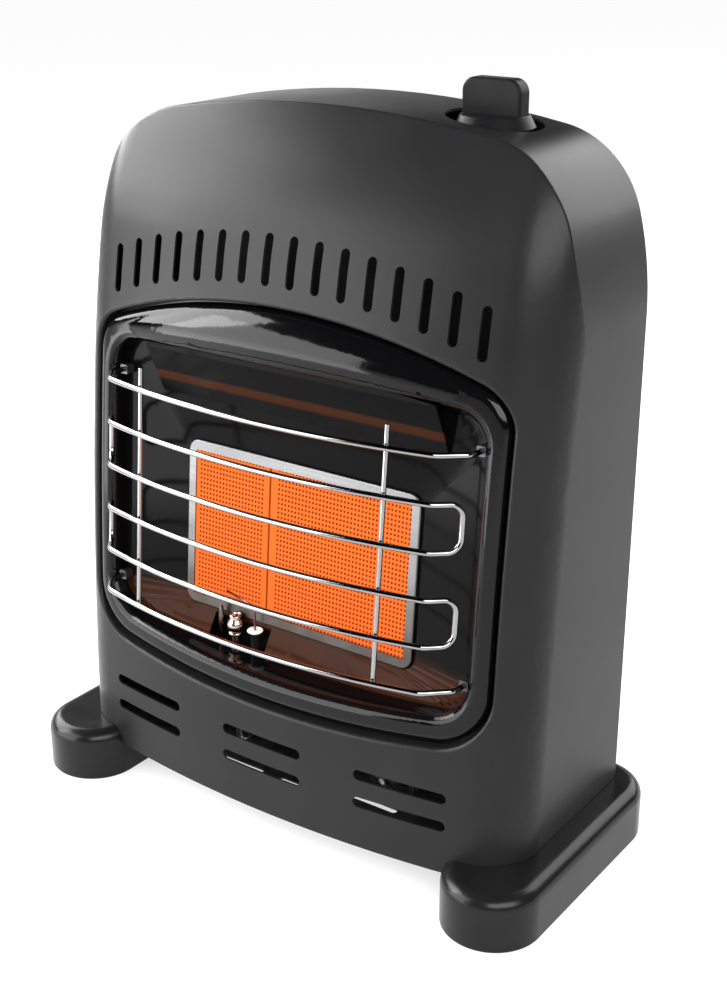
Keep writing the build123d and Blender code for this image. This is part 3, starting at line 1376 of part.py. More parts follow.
with BuildPart() as tube_nuts:
    with BuildSketch(Plane.XY.offset(valve_base - PORT_LENGTH)):
        for x, radius in VALVE_PORTS:
            with Locations((x, KNOB_Y)):
                RegularPolygon(radius + 3.4, 6)
                Circle(radius + STEM_FIT, mode=Mode.SUBTRACT)
    extrude(amount=-NUT_HEIGHT)
tube_nuts.part.label = "tube_nuts"
export_step(tube_nuts.part, "parts/tube_nuts.step")

# ---------------------------------------------------------------- pilot group
def on_pan_back(drop, back):
    """A (Y, Z) point behind the dish's rim, drop below the rim's edge and back from its rear."""
    point = on_fire(0, up_the_lean(PILOT_SEAT) - drop, PAN_FRONT - PAN_SHEET - back)
    return point.Y, point.Z


with BuildPart() as pilot_bracket:
    with BuildSketch(Plane.YZ.offset(PILOT_X)):
        with BuildLine():
            Polyline(
                on_pan_back(BRACKET_DROP, 0),
                on_pan_back(0, 0),
                (PILOT_Y + 4.5, PILOT_SEAT),
                (PILOT_Y + 4.5, PILOT_SEAT - 1),
                on_pan_back(1, 1),
                on_pan_back(BRACKET_DROP, 1),
                close=True,
            )
        make_face()
    extrude(amount=PILOT_OPENING / 2 - FIT_CLEARANCE, both=True)
    with BuildSketch(Plane.XY.offset(PILOT_SEAT - 2)):
        with Locations((PILOT_TUBE_X, PILOT_Y)):
            Circle(PILOT_TUBE_RADIUS + FIT_CLEARANCE)
        with Locations((THERMOCOUPLE_X, PILOT_Y)):
            Circle(THERMOCOUPLE_RADIUS + STEM_FIT)
        with Locations((IGNITER_X, PILOT_Y)):
            Circle(IGNITER_RADIUS + STEM_FIT)
    extrude(amount=4, mode=Mode.SUBTRACT)
pilot_bracket.part.label = "pilot_bracket"
export_step(pilot_bracket.part, "parts/pilot_bracket.step")

with BuildPart() as pilot_burner:
    with BuildSketch(Plane.XZ.offset(-PILOT_Y)):
        with BuildLine():
            Polyline(*[(PILOT_TUBE_X + r, PILOT_SEAT + z) for r, z in PILOT_PROFILE], close=True)
        make_face()
    revolve(axis=Axis((PILOT_TUBE_X, PILOT_Y, 0), (0, 0, 1)))
pilot_burner.part.label = "pilot_burner"
export_step(pilot_burner.part, "parts/pilot_burner.step")

thermocouple_route = (
    (THERMOCOUPLE_X, PILOT_Y, PILOT_SEAT - 6),
    (THERMOCOUPLE_X, PILOT_Y, PILOT_SEAT + 12),
    (THERMOCOUPLE_X + 0.8, PILOT_Y + 0.9, PILOT_SEAT + 21.5),
)
with BuildPart() as thermocouple:
    add(bent_tube(thermocouple_route, 8, THERMOCOUPLE_RADIUS))
thermocouple.part.label = "thermocouple"
export_step(thermocouple.part, "parts/thermocouple.step")


with BuildPart() as igniter_insulator:
    with Locations((IGNITER_X, PILOT_Y, PILOT_SEAT)):
        Cylinder(IGNITER_RADIUS, 10, align=DOWNWARD)
        Cylinder(IGNITER_RADIUS + 0.8, 8, align=UPWARD)
        with Locations((0, 0, 8)):
            Cylinder(4.4, 1.8, align=UPWARD)
        Cylinder(ELECTRODE_RADIUS + STEM_FIT, 30, mode=Mode.SUBTRACT)
igniter_insulator.part.label = "igniter_insulator"
export_step(igniter_insulator.part, "parts/igniter_insulator.step")

electrode_route = (
    (IGNITER_X, PILOT_Y, PILOT_SEAT - 6),
    (IGNITER_X, PILOT_Y, PILOT_SEAT + 31),
    (IGNITER_X - 37, PILOT_Y + 2, PILOT_SEAT + 38),
)
with BuildPart() as igniter_electrode:
    add(bent_tube(electrode_route, 2.5, ELECTRODE_RADIUS))
igniter_electrode.part.label = "igniter_electrode"
export_step(igniter_electrode.part, "parts/igniter_electrode.step")


valve_left = KNOB_X - VALVE_LENGTH / 2
thermocouple_lead_route = (
    (valve_left, KNOB_Y, valve_base + 12),
    (valve_left - 13, KNOB_Y, valve_base + 12),
    (valve_left - 13, KNOB_Y, 56),
    (valve_left - 13, 12, 56),
    (THERMOCOUPLE_X, 12, 56),
    (THERMOCOUPLE_X, PILOT_Y, 56),
    (THERMOCOUPLE_X, PILOT_Y, PILOT_SEAT - 6),
)
igniter_lead_route = (
    (valve_left, KNOB_Y + 7, valve_base + 6),
    (valve_left - 19, KNOB_Y + 7, valve_base + 6),
    (valve_left - 19, KNOB_Y + 7, 66),
    (valve_left - 19, 14, 66),
    (IGNITER_X, 14, 66),
    (IGNITER_X, PILOT_Y, 66),
    (IGNITER_X, PILOT_Y, PILOT_SEAT - 10),
)
with BuildPart() as thermocouple_lead:
    add(bent_tube(thermocouple_lead_route, 6, LEAD_RADIUS))
thermocouple_lead.part.label = "thermocouple_lead"
export_step(thermocouple_lead.part, "parts/thermocouple_lead.step")

with BuildPart() as igniter_lead:
    add(bent_tube(igniter_lead_route, 6, LEAD_RADIUS))
igniter_lead.part.label = "igniter_lead"
export_step(igniter_lead.part, "parts/igniter_lead.step")
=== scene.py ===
"""Portable gas cabinet heater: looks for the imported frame, in metres."""
import math

import bpy
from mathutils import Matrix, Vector


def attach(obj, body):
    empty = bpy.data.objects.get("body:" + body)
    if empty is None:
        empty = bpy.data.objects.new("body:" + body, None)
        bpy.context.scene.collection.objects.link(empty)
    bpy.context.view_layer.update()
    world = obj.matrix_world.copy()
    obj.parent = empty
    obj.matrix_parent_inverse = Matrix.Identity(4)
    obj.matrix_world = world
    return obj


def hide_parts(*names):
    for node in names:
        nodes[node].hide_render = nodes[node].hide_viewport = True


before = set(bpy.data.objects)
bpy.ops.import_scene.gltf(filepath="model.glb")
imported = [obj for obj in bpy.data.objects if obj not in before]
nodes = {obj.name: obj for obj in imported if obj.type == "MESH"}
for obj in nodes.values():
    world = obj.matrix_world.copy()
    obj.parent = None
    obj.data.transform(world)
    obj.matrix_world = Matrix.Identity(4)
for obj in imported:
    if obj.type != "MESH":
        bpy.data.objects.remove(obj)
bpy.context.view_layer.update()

# ---------------------------------------------------------------- camera
# A long lens from the heater's right front, a little above it, so the front, the right side
# and a sliver of the top all show.
SENSOR_WIDTH = 36
LENS_LENGTH = 56.08
CAMERA_PLACE = (0.5489, -0.7352, 0.5795)
CAMERA_LOOKS_DOWN = 21.702
CAMERA_TURNED_LEFT = 35.403

camera_data = bpy.data.cameras.new("camera")
camera = bpy.data.objects.new("camera", camera_data)
bpy.context.scene.collection.objects.link(camera)
camera_data.sensor_width = SENSOR_WIDTH
camera_data.lens = LENS_LENGTH
camera.location = CAMERA_PLACE
camera.rotation_euler = (
    math.radians(90 - CAMERA_LOOKS_DOWN), 0, math.radians(CAMERA_TURNED_LEFT)
)
bpy.context.scene.camera = camera
bpy.context.scene.view_settings.view_transform = "Standard"

# ---------------------------------------------------------------- floor and studio light
# A pale translucent sheet, lit partly from below as a light table is, in even light from all
# round. Softboxes draw the highlights: left, front left for the visor, right and two behind.
FLOOR_SIZE = 80
SHEET_GREY = 0.36
SHEET_GLOW = 0.6
ROOM_LIGHT = 1.08
LIT_MIDDLE = Vector((0, 0, 0.3))
LIGHT_DISTANCE = 1.9

bpy.ops.mesh.primitive_plane_add(size=FLOOR_SIZE, location=(0, 0, 0))
floor = bpy.context.object
floor.name = "floor"
paper = bpy.data.materials.new("pale_sheet")
paper.use_nodes = True
paper_shader = paper.node_tree.nodes["Principled BSDF"]
paper_shader.inputs["Base Color"].default_value = (SHEET_GREY, SHEET_GREY, SHEET_GREY, 1)
paper_shader.inputs["Emission Color"].default_value = (1, 1, 1, 1)
paper_shader.inputs["Emission Strength"].default_value = SHEET_GLOW
paper_shader.inputs["Roughness"].default_value = 0.9
paper_shader.inputs["Specular IOR Level"].default_value = 0.1
floor.data.materials.append(paper)

# the room itself gives even light, and isn't mirrored in the gloss
studio = bpy.data.worlds.new("studio")
bpy.context.scene.world = studio
studio.use_nodes = True
room = studio.node_tree.nodes["Background"]
room.inputs["Color"].default_value = (1, 1, 1, 1)
room.inputs["Strength"].default_value = ROOM_LIGHT
studio.cycles_visibility.glossy = False


def softbox(name, turn, rise, width, height, brightness, distance=LIGHT_DISTANCE):
    """A studio panel, turned from the front towards the right and raised, in degrees."""
    light = bpy.data.lights.new(name, "AREA")
    light.shape = "RECTANGLE"
    light.size = width
    light.size_y = height
    light.energy = brightness * math.pi * width * height
    lamp = bpy.data.objects.new(name, light)
    bpy.context.scene.collection.objects.link(lamp)
    turn, rise = math.radians(turn), math.radians(rise)
    out = Vector(
        (math.sin(turn) * math.cos(rise), -math.cos(turn) * math.cos(rise), math.sin(rise))
    )
    lamp.location = LIT_MIDDLE + out * distance
    lamp.rotation_euler = (-out).to_track_quat("-Z", "Y").to_euler()
    lamp.visible_camera = False


softbox("left_panel", -86, 28, 2.1, 1.2, 12.0)
softbox("visor_panel", -39, 7, 0.76, 0.84, 7.0, distance=0.85)
softbox("right_panel", 54, 28, 1.9, 1.0, 8.5)
softbox("back_panel", 162, 27, 1.4, 1.5, 5.4)
softbox("rear_left_panel", -143, 7, 2.4, 0.45, 1.2)

# ---------------------------------------------------------------- casing
# Front, sides and top pressed from one steel sheet, with a powder coat in satin black. The coat
# has a fine orange peel and a faint unevenness in its sheen.
JOIN_WITHIN = 0.000002
SHARP_FROM = math.radians(28)


def new_finish(name, colour, roughness, metallic=0.0, gloss=0.5):
    """A material for one finish of the heater, with its shader set to these values."""
    material = bpy.data.materials.new(name)
    material.use_nodes = True
    shader = material.node_tree.nodes["Principled BSDF"]
    shader.inputs["Base Color"].default_value = (*colour, 1)
    shader.inputs["Roughness"].default_value = roughness
    shader.inputs["Metallic"].default_value = metallic
    shader.inputs["Specular IOR Level"].default_value = gloss
    return material


def on_object(material, stretch=(1, 1, 1)):
    """The piece's own coordinates in metres, stretched for a pattern that runs one way."""
    tree = material.node_tree
    coordinates = tree.nodes.new("ShaderNodeTexCoord")
    mapping = tree.nodes.new("ShaderNodeMapping")
    mapping.inputs["Scale"].default_value = stretch
    tree.links.new(coordinates.outputs["Object"], mapping.inputs["Vector"])
    return mapping.outputs["Vector"]


def cloudy(material, scale, detail=3.0, stretch=(1, 1, 1)):
    """Soft noise over the piece; scale is patches to the metre."""
    tree = material.node_tree
    noise = tree.nodes.new("ShaderNodeTexNoise")
    noise.inputs["Scale"].default_value = scale
    noise.inputs["Detail"].default_value = detail
    tree.links.new(on_object(material, stretch), noise.inputs["Vector"])
    return noise.outputs["Fac"]


def vary_sheen(material, low, high, scale, stretch=(1, 1, 1)):
    """Roughness that wanders between low and high."""
    tree = material.node_tree
    spread = tree.nodes.new("ShaderNodeMapRange")
    spread.inputs["From Min"].default_value = 0.3
    spread.inputs["From Max"].default_value = 0.7
    spread.inputs["To Min"].default_value = low
    spread.inputs["To Max"].default_value = high
    tree.links.new(cloudy(material, scale, stretch=stretch), spread.inputs["Value"])
    shader = tree.nodes["Principled BSDF"]
    tree.links.new(spread.outputs["Result"], shader.inputs["Roughness"])


def vary_colour(material, dark, light, scale, stretch=(1, 1, 1)):
    """Colour that wanders between dark and light."""
    tree = material.node_tree
    ramp = tree.nodes.new("ShaderNodeValToRGB")
    ramp.color_ramp.elements[0].position = 0.32
    ramp.color_ramp.elements[1].position = 0.68
    ramp.color_ramp.elements[0].color = (*dark, 1)
    ramp.color_ramp.elements[1].color = (*light, 1)
    tree.links.new(cloudy(material, scale, stretch=stretch), ramp.inputs["Fac"])
    shader = tree.nodes["Principled BSDF"]
    tree.links.new(ramp.outputs["Color"], shader.inputs["Base Color"])


def relief(material, height, strength, depth):
    """Bump from a height, depth metres deep."""
    tree = material.node_tree
    bump = tree.nodes.new("ShaderNodeBump")
    bump.inputs["Strength"].default_value = strength
    bump.inputs["Distance"].default_value = depth
    tree.links.new(height, bump.inputs["Height"])
    shader = tree.nodes["Principled BSDF"]
    tree.links.new(bump.outputs["Normal"], shader.inputs["Normal"])


def coat(material, *names):
    """These nodes of the frame take this finish."""
    for name in names:
        nodes[name].data.materials.clear()
        nodes[name].data.materials.append(material)


def smooth_skin(material, slot, *names, body="housing", flats=True):
    """These nodes are stood for by copies whose round faces are shaded smooth, in this finish.
    With flats, large flat faces keep their own direction up to the rounding at their edge."""
    for name in names:
        skin = bpy.data.objects.new(name + "_surface", nodes[name].data.copy())
        bpy.context.scene.collection.objects.link(skin)
        bpy.ops.object.select_all(action="DESELECT")
        skin.select_set(True)
        bpy.context.view_layer.objects.active = skin
        bpy.ops.mesh.customdata_custom_splitnormals_clear()
        bpy.ops.object.mode_set(mode="EDIT")
        bpy.ops.mesh.select_all(action="SELECT")
        bpy.ops.mesh.remove_doubles(threshold=JOIN_WITHIN)
        bpy.ops.object.mode_set(mode="OBJECT")
        bpy.ops.object.shade_smooth_by_angle(angle=SHARP_FROM)
        if flats:
            even = skin.modifiers.new("even_normals", "WEIGHTED_NORMAL")
            even.keep_sharp = True
            bpy.ops.object.modifier_apply(modifier=even.name)
        skin.data.materials.clear()
        skin.data.materials.append(material)
        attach(skin, body)
        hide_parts(name)


powder_coat = new_finish("satin_black_powder_coat", (0.008, 0.008, 0.0085), 0.32, gloss=0.15)
vary_colour(powder_coat, (0.007, 0.007, 0.0075), (0.010, 0.010, 0.0105), 9)
vary_sheen(powder_coat, 0.29, 0.35, 14)
relief(powder_coat, cloudy(powder_coat, 1100, 2.0), 0.12, 0.00015)
smooth_skin(powder_coat, "casing_black", "front_shell", "rear_panel")

# ---------------------------------------------------------------- base tray and rear panel
# The tray is galvanised sheet, with its colour and spangle painted dark grey for the shade
# inside the casing, where it is lit only faintly through the lower slots. The rear panel is
# coated like the casing and held by eight blackened pan-head screws.
# painted shade: the dark base colour and spangle tones stand for the shade inside the casing
galvanised = new_finish("galvanised_sheet_painted_dark_for_shade", (0.03, 0.03, 0.031), 0.6, 0.2, gloss=0.1)
spangle = galvanised.node_tree.nodes.new("ShaderNodeTexVoronoi")
spangle.inputs["Scale"].default_value = 140
galvanised.node_tree.links.new(on_object(galvanised), spangle.inputs["Vector"])
spangle_tone = galvanised.node_tree.nodes.new("ShaderNodeValToRGB")
spangle_tone.color_ramp.elements[0].color = (0.02, 0.02, 0.021, 1)
spangle_tone.color_ramp.elements[1].color = (0.05, 0.05, 0.052, 1)
galvanised.node_tree.links.new(spangle.outputs["Color"], spangle_tone.inputs["Fac"])
galvanised.node_tree.links.new(
    spangle_tone.outputs["Color"],
    galvanised.node_tree.nodes["Principled BSDF"].inputs["Base Color"],
)
vary_sheen(galvanised, 0.52, 0.66, 60)
coat(galvanised, "base_pan")

black_zinc = new_finish("blackened_zinc", (0.05, 0.05, 0.055), 0.35, 0.8)
vary_sheen(black_zinc, 0.28, 0.45, 300)
relief(black_zinc, cloudy(black_zinc, 2600), 0.15, 0.0001)
coat(black_zinc, "rear_panel_screws", "foot_screws")

# ---------------------------------------------------------------- feet
# Two long feet moulded in black plastic, a little glossier than the coat, with the fine even
# grain of the mould.
foot_plastic = new_finish("moulded_black_plastic", (0.005, 0.005, 0.0052), 0.25, gloss=0.19)
vary_colour(foot_plastic, (0.004, 0.004, 0.0042), (0.006, 0.006, 0.0063), 12)
vary_sheen(foot_plastic, 0.22, 0.28, 40)
relief(foot_plastic, cloudy(foot_plastic, 2400, 1.0), 0.06, 0.0001)
smooth_skin(foot_plastic, "foot_black", "foot_left", "foot_right")

# ---------------------------------------------------------------- bezel and visor
# Pressed surround of the firebox, vitreous black enamel: nearly a mirror, with the slight
# swimming of fired enamel.
enamel = new_finish("black_enamel", (0.0015, 0.0015, 0.0017), 0.07, gloss=0.2)
vary_sheen(enamel, 0.06, 0.12, 22)
relief(enamel, cloudy(enamel, 10, 0.0), 0.012, 0.0015)
smooth_skin(enamel, "bezel_black", "bezel_frame", flats=False)

# ---------------------------------------------------------------- firebox dish
# Deep-drawn dish behind the bezel, with pleated lower corners, in enamel that the heat has
# dimmed, with a painted reflection of the glowing tiles in brown low down. Its hood is browned
# in a band along it, and its screws are black.
# painted reflection: the glowing tiles mirrored in brown low in the dish
DISH_REFLECTION_TO = 0.140
DISH_REFLECTION_FADE = 0.012
HOOD_BROWN_FROM = 0.2845
HOOD_BROWN_TO = 0.2935
DIMMED_BLACK = (0.002, 0.002, 0.002)
DISH_PAINTED_REFLECTION = (0.024, 0.0065, 0.002)
HOOD_BROWN_LOW = (0.026, 0.0065, 0.002)
HOOD_BROWN_HIGH = (0.03, 0.0075, 0.002)


# used for tints low down on several parts, stains among them, and for the painted reflection of
# the tiles in the dish
def stain_and_reflection_low(material, black, brown, top, fade, blotchy=0.5):
    """The colour brown below the height top, fading to the colour black above it, in soft
    blotches: a stain, and in the dish a painted reflection.
    """
    tree = material.node_tree
    height = tree.nodes.new("ShaderNodeSeparateXYZ")
    tree.links.new(on_object(material), height.inputs["Vector"])
    span = tree.nodes.new("ShaderNodeMapRange")
    span.inputs["From Min"].default_value = top
    span.inputs["From Max"].default_value = top + fade
    tree.links.new(height.outputs["Z"], span.inputs["Value"])
    blotches = tree.nodes.new("ShaderNodeMath")
    blotches.operation = "MULTIPLY_ADD"
    blotches.inputs[1].default_value = blotchy
    tree.links.new(cloudy(material, 60), blotches.inputs[0])
    tree.links.new(span.outputs["Result"], blotches.inputs[2])
    ramp = tree.nodes.new("ShaderNodeValToRGB")
    ramp.color_ramp.elements[0].position = 0.2
    ramp.color_ramp.elements[0].color = (*brown, 1)
    ramp.color_ramp.elements[1].color = (*black, 1)
    tree.links.new(blotches.outputs["Value"], ramp.inputs["Fac"])
    shader = tree.nodes["Principled BSDF"]
    tree.links.new(ramp.outputs["Color"], shader.inputs["Base Color"])
    return ramp.color_ramp


# painted reflection: the brown low in the dish stands for the glowing tiles mirrored in its enamel
dish_enamel = new_finish("heat_dimmed_enamel_with_painted_reflection", DIMMED_BLACK, 0.1, gloss=0.045)
stain_and_reflection_low(dish_enamel, DIMMED_BLACK, DISH_PAINTED_REFLECTION, DISH_REFLECTION_TO, DISH_REFLECTION_FADE)
vary_sheen(dish_enamel, 0.08, 0.16, 18)
relief(dish_enamel, cloudy(dish_enamel, 14, 0.0), 0.03, 0.0015)
smooth_skin(dish_enamel, "firebox_black", "firebox_pan")

hood_enamel = new_finish("heat_dimmed_hood", DIMMED_BLACK, 0.2, gloss=0.03)
# black below and above, and brown between
hood_band = stain_and_reflection_low(
    hood_enamel, DIMMED_BLACK, DIMMED_BLACK,
    HOOD_BROWN_FROM, HOOD_BROWN_TO - HOOD_BROWN_FROM, blotchy=0.12,
)
hood_band.elements[0].position = 0.08
for place, brown in ((0.3, HOOD_BROWN_LOW), (0.75, HOOD_BROWN_HIGH)):
    hood_band.elements.new(place).color = (*brown, 1)
vary_sheen(hood_enamel, 0.15, 0.25, 18)
coat(hood_enamel, "top_deflector")
coat(black_zinc, "pan_screws", "burner_screws", "shield_screws", "valve_screws")

# ---------------------------------------------------------------- burner frame
# Frame of satin stainless sheet that holds the ceramic tiles, brushed along its length. It is
# duller and warmer towards the bottom, where the pilot flame reaches it.
FRAME_DULL_TO = 0.145
FRAME_DULL_FADE = 0.07

satin_steel = new_finish("satin_stainless", (0.15, 0.15, 0.15), 0.38, 1.0)
stain_and_reflection_low(satin_steel, (0.15, 0.15, 0.153), (0.06, 0.05, 0.044), FRAME_DULL_TO, FRAME_DULL_FADE)
vary_sheen(satin_steel, 0.33, 0.43, 90, (0.15, 1, 6))
relief(satin_steel, cloudy(satin_steel, 900, 2.0, (0.05, 1, 3)), 0.12, 0.0001)
smooth_skin(satin_steel, "burner_steel", "burner_frame")

# ---------------------------------------------------------------- ceramic tiles
# Two ceramic tiles pressed with rows of round holes, glowing orange, with painted shade down in
# the holes and at the joint, where the glow is dimmer and redder. The wider tile keeps a plain
# strip beside the joint.
FIRE_LEAN = math.radians(5)
FIRE_Y = -0.033
FIRE_Z = 0.1915
TILE_FRONT = 0.001
TILE_DEPTH = 0.012
TILE_HALF_HEIGHT = 0.051
HOLE_PITCH_U = 0.00265
HOLE_PITCH_V = 0.00303
HOLE_RIM = 0.0006
HOLE_RADIUS = 0.00082
HOLE_DEPTH = 0.0016
HOLE_ROWS = 33
JOIN_HOLES_WITHIN = 0.00002
HAIR = 0.000001
REDDER_BELOW = FIRE_Z - 0.055
BRIGHTEST_FROM = FIRE_Z + 0.03
FACE_GLOW = 0.88
SHADED_HOLE_GLOW = 0.32
EDGE_GLOW = 0.35
IN_THE_HOLES = 1
ROUND_THE_EDGE = 2

glowing = new_finish("glowing_ceramic", (0.1, 0.02, 0.004), 0.9, gloss=0.02)
glow_tree = glowing.node_tree
glow_ramp = glow_tree.nodes.new("ShaderNodeValToRGB")
glow_ramp.color_ramp.elements[0].color = (1.0, 0.15, 0.026, 1)
glow_ramp.color_ramp.elements[1].color = (1.0, 0.2, 0.034, 1)
glow_height = glow_tree.nodes.new("ShaderNodeSeparateXYZ")
glow_tree.links.new(on_object(glowing), glow_height.inputs["Vector"])
glow_span = glow_tree.nodes.new("ShaderNodeMapRange")
glow_span.inputs["From Min"].default_value = REDDER_BELOW
glow_span.inputs["From Max"].default_value = BRIGHTEST_FROM
glow_tree.links.new(glow_height.outputs["Z"], glow_span.inputs["Value"])
glow_mix = glow_tree.nodes.new("ShaderNodeMath")
glow_mix.operation = "MULTIPLY_ADD"
glow_mix.inputs[1].default_value = 0.3
glow_tree.links.new(cloudy(glowing, 70), glow_mix.inputs[0])
glow_tree.links.new(glow_span.outputs["Result"], glow_mix.inputs[2])
glow_tree.links.new(glow_mix.outputs["Value"], glow_ramp.inputs["Fac"])
glow_shader = glow_tree.nodes["Principled BSDF"]
glow_tree.links.new(glow_ramp.outputs["Color"], glow_shader.inputs["Emission Color"])
glow_shader.inputs["Emission Strength"].default_value = FACE_GLOW
relief(glowing, cloudy(glowing, 1500), 0.2, 0.0001)

# painted shade: the holes glow dimmer and redder than the face, shade painted into the glow
shaded_hole_glow = new_finish("glow_with_painted_shade_in_holes", (0.08, 0.01, 0.002), 0.9, gloss=0.02)
vary_colour(shaded_hole_glow, (0.06, 0.008, 0.0015), (0.1, 0.013, 0.0025), 60)
hole_shader = shaded_hole_glow.node_tree.nodes["Principled BSDF"]
hole_shader.inputs["Emission Color"].default_value = (1.0, 0.07, 0.004, 1)
hole_shader.inputs["Emission Strength"].default_value = SHADED_HOLE_GLOW

dim_edge = new_finish("dimly_lit_tile_edge", (0.05, 0.012, 0.003), 0.9, gloss=0.02)
vary_colour(dim_edge, (0.04, 0.01, 0.002), (0.07, 0.016, 0.004), 80)
edge_shader = dim_edge.node_tree.nodes["Principled BSDF"]
edge_shader.inputs["Emission Color"].default_value = (1.0, 0.12, 0.01, 1)
edge_shader.inputs["Emission Strength"].default_value = EDGE_GLOW


def pick(mesh, kind, test):
    """Selects the vertices, edges or faces of a mesh that pass a test, and opens edit mode."""
    bpy.ops.object.mode_set(mode="EDIT")
    bpy.ops.mesh.select_mode(type=kind)
    bpy.ops.mesh.select_all(action="DESELECT")
    bpy.ops.object.mode_set(mode="OBJECT")
    points = mesh.vertices
    if kind == "VERT":
        for vertex in points:
            vertex.select = test(vertex.co)
    elif kind == "EDGE":
        for edge in mesh.edges:
            ends = [points[index].co for index in edge.vertices]
            edge.select = test(ends[0]) and test(ends[1])
    else:
        for face in mesh.polygons:
            face.select = test(face.center)
    bpy.ops.object.mode_set(mode="EDIT")


def perforated_tile(name, node, left, right, first_hole, columns):
    """A ceramic tile from left to right, its holes starting at first_hole.
    It is made lying on its back, one hole first, and then stood up against the fire's lean."""
    bpy.ops.object.select_all(action="DESELECT")
    bpy.ops.mesh.primitive_plane_add(size=1, location=(0, 0, 0))
    tile = bpy.context.object
    tile.name = name
    tile.scale = (HOLE_PITCH_U, HOLE_PITCH_V, 1)
    bpy.ops.object.transform_apply(location=False, rotation=False, scale=True)
    tile.data.materials.append(glowing)
    tile.data.materials.append(shaded_hole_glow)
    tile.data.materials.append(dim_edge)
    bpy.ops.object.mode_set(mode="EDIT")
    bpy.ops.mesh.select_all(action="SELECT")
    bpy.ops.mesh.subdivide(number_cuts=1)
    pick(tile.data, "VERT", lambda at: at.length < HAIR)
    bpy.ops.mesh.dissolve_verts()
    bpy.ops.mesh.select_mode(type="FACE")
    bpy.ops.mesh.select_all(action="SELECT")
    bpy.ops.mesh.inset(thickness=HOLE_RIM, use_boundary=True)
    bpy.ops.object.mode_set(mode="OBJECT")
    pick(tile.data, "FACE", lambda at: at.length < HAIR)
    bpy.ops.object.mode_set(mode="OBJECT")
    inner = max(tile.data.polygons, key=lambda face: len(face.vertices))
    for index in inner.vertices:
        rim = tile.data.vertices[index]
        rim.co = rim.co.normalized() * HOLE_RADIUS
    bpy.ops.object.mode_set(mode="EDIT")
    bpy.ops.mesh.extrude_region_move(
        MESH_OT_extrude_region={}, TRANSFORM_OT_translate={"value": (0, 0, -HOLE_DEPTH)}
    )
    bpy.ops.object.mode_set(mode="OBJECT")
    for face in tile.data.polygons:
        if face.center.z < -HAIR:
            face.material_index = IN_THE_HOLES

    # the one hole repeated along a row, and the row repeated
    for count, step in ((columns, (HOLE_PITCH_U, 0, 0)), (HOLE_ROWS, (0, HOLE_PITCH_V, 0))):
        row = tile.modifiers.new("row", "ARRAY")
        row.use_relative_offset = False
        row.use_constant_offset = True
        row.constant_offset_displace = step
        row.count = count
        row.use_merge_vertices = True
        row.merge_threshold = JOIN_HOLES_WITHIN
        bpy.ops.object.modifier_apply(modifier=row.name)

    # the plain margin round the holes, then the tile's edge and back
    low_u = first_hole - HOLE_PITCH_U / 2
    low_v = -HOLE_PITCH_V * HOLE_ROWS / 2
    high_u = low_u + HOLE_PITCH_U * columns
    tile.location = (first_hole, low_v + HOLE_PITCH_V / 2, 0)
    bpy.ops.object.transform_apply(location=True, rotation=False, scale=False)
    margins = (
        (lambda at: at.x < low_u + HAIR, (left - low_u, 0, 0)),
        (lambda at: at.x > high_u - HAIR, (right - high_u, 0, 0)),
        (lambda at: at.y < low_v + HAIR, (0, -TILE_HALF_HEIGHT - low_v, 0)),
        (lambda at: at.y > -low_v - HAIR, (0, TILE_HALF_HEIGHT + low_v, 0)),
    )
    for test, step in margins:
        pick(tile.data, "EDGE", test)
        bpy.ops.mesh.extrude_region_move(
            MESH_OT_extrude_region={}, TRANSFORM_OT_translate={"value": step}
        )
        bpy.ops.object.mode_set(mode="OBJECT")
    bpy.ops.object.mode_set(mode="EDIT")
    bpy.ops.mesh.select_mode(type="EDGE")
    bpy.ops.mesh.select_all(action="DESELECT")
    bpy.ops.mesh.select_non_manifold(
        extend=False, use_wire=False, use_multi_face=False,
        use_non_contiguous=False, use_verts=False,
    )
    bpy.ops.mesh.extrude_region_move(
        MESH_OT_extrude_region={}, TRANSFORM_OT_translate={"value": (0, 0, -TILE_DEPTH)}
    )
    bpy.ops.mesh.edge_face_add()
    bpy.ops.mesh.select_all(action="SELECT")
    bpy.ops.mesh.normals_make_consistent(inside=False)
    bpy.ops.object.mode_set(mode="OBJECT")
    for face in tile.data.polygons:
        if face.center.z < -HOLE_DEPTH - HAIR:
            face.material_index = ROUND_THE_EDGE
    tile.rotation_euler = (math.pi / 2 - FIRE_LEAN, 0, 0)
    tile.location = (
        0,
        FIRE_Y - TILE_FRONT * math.cos(FIRE_LEAN),
        FIRE_Z + TILE_FRONT * math.sin(FIRE_LEAN),
    )
    bpy.ops.object.transform_apply(location=True, rotation=True, scale=False)
    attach(tile, "housing")
    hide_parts(node)


perforated_tile("left_tile", "ceramic_tile_left", -0.08525, -0.0237, -0.0794, 20)
perforated_tile("right_tile", "ceramic_tile_right", -0.0223, 0.08525, -0.0160, 38)

# ---------------------------------------------------------------- burner box and mixer
# A fibre gasket behind the tiles, then the pressed gas chamber, the mixer tube and the brass
# injector, all hidden behind the dish.
fibre = new_finish("fibre_gasket", (0.5, 0.49, 0.46), 0.95)
vary_colour(fibre, (0.42, 0.41, 0.38), (0.58, 0.57, 0.54), 220)
relief(fibre, cloudy(fibre, 900), 0.5, 0.0003)
coat(fibre, "burner_gasket")

drawn_steel = new_finish("drawn_steel", (0.33, 0.33, 0.33), 0.38, 1.0)
vary_colour(drawn_steel, (0.26, 0.26, 0.265), (0.4, 0.395, 0.39), 40)
vary_sheen(drawn_steel, 0.3, 0.48, 55)
relief(drawn_steel, cloudy(drawn_steel, 1200), 0.1, 0.0001)
coat(
    drawn_steel,
    "burner_plenum", "mixer_tube", "injector_bracket", "burner_bracket_left",
    "burner_bracket_right", "valve_bracket", "push_rod",
)

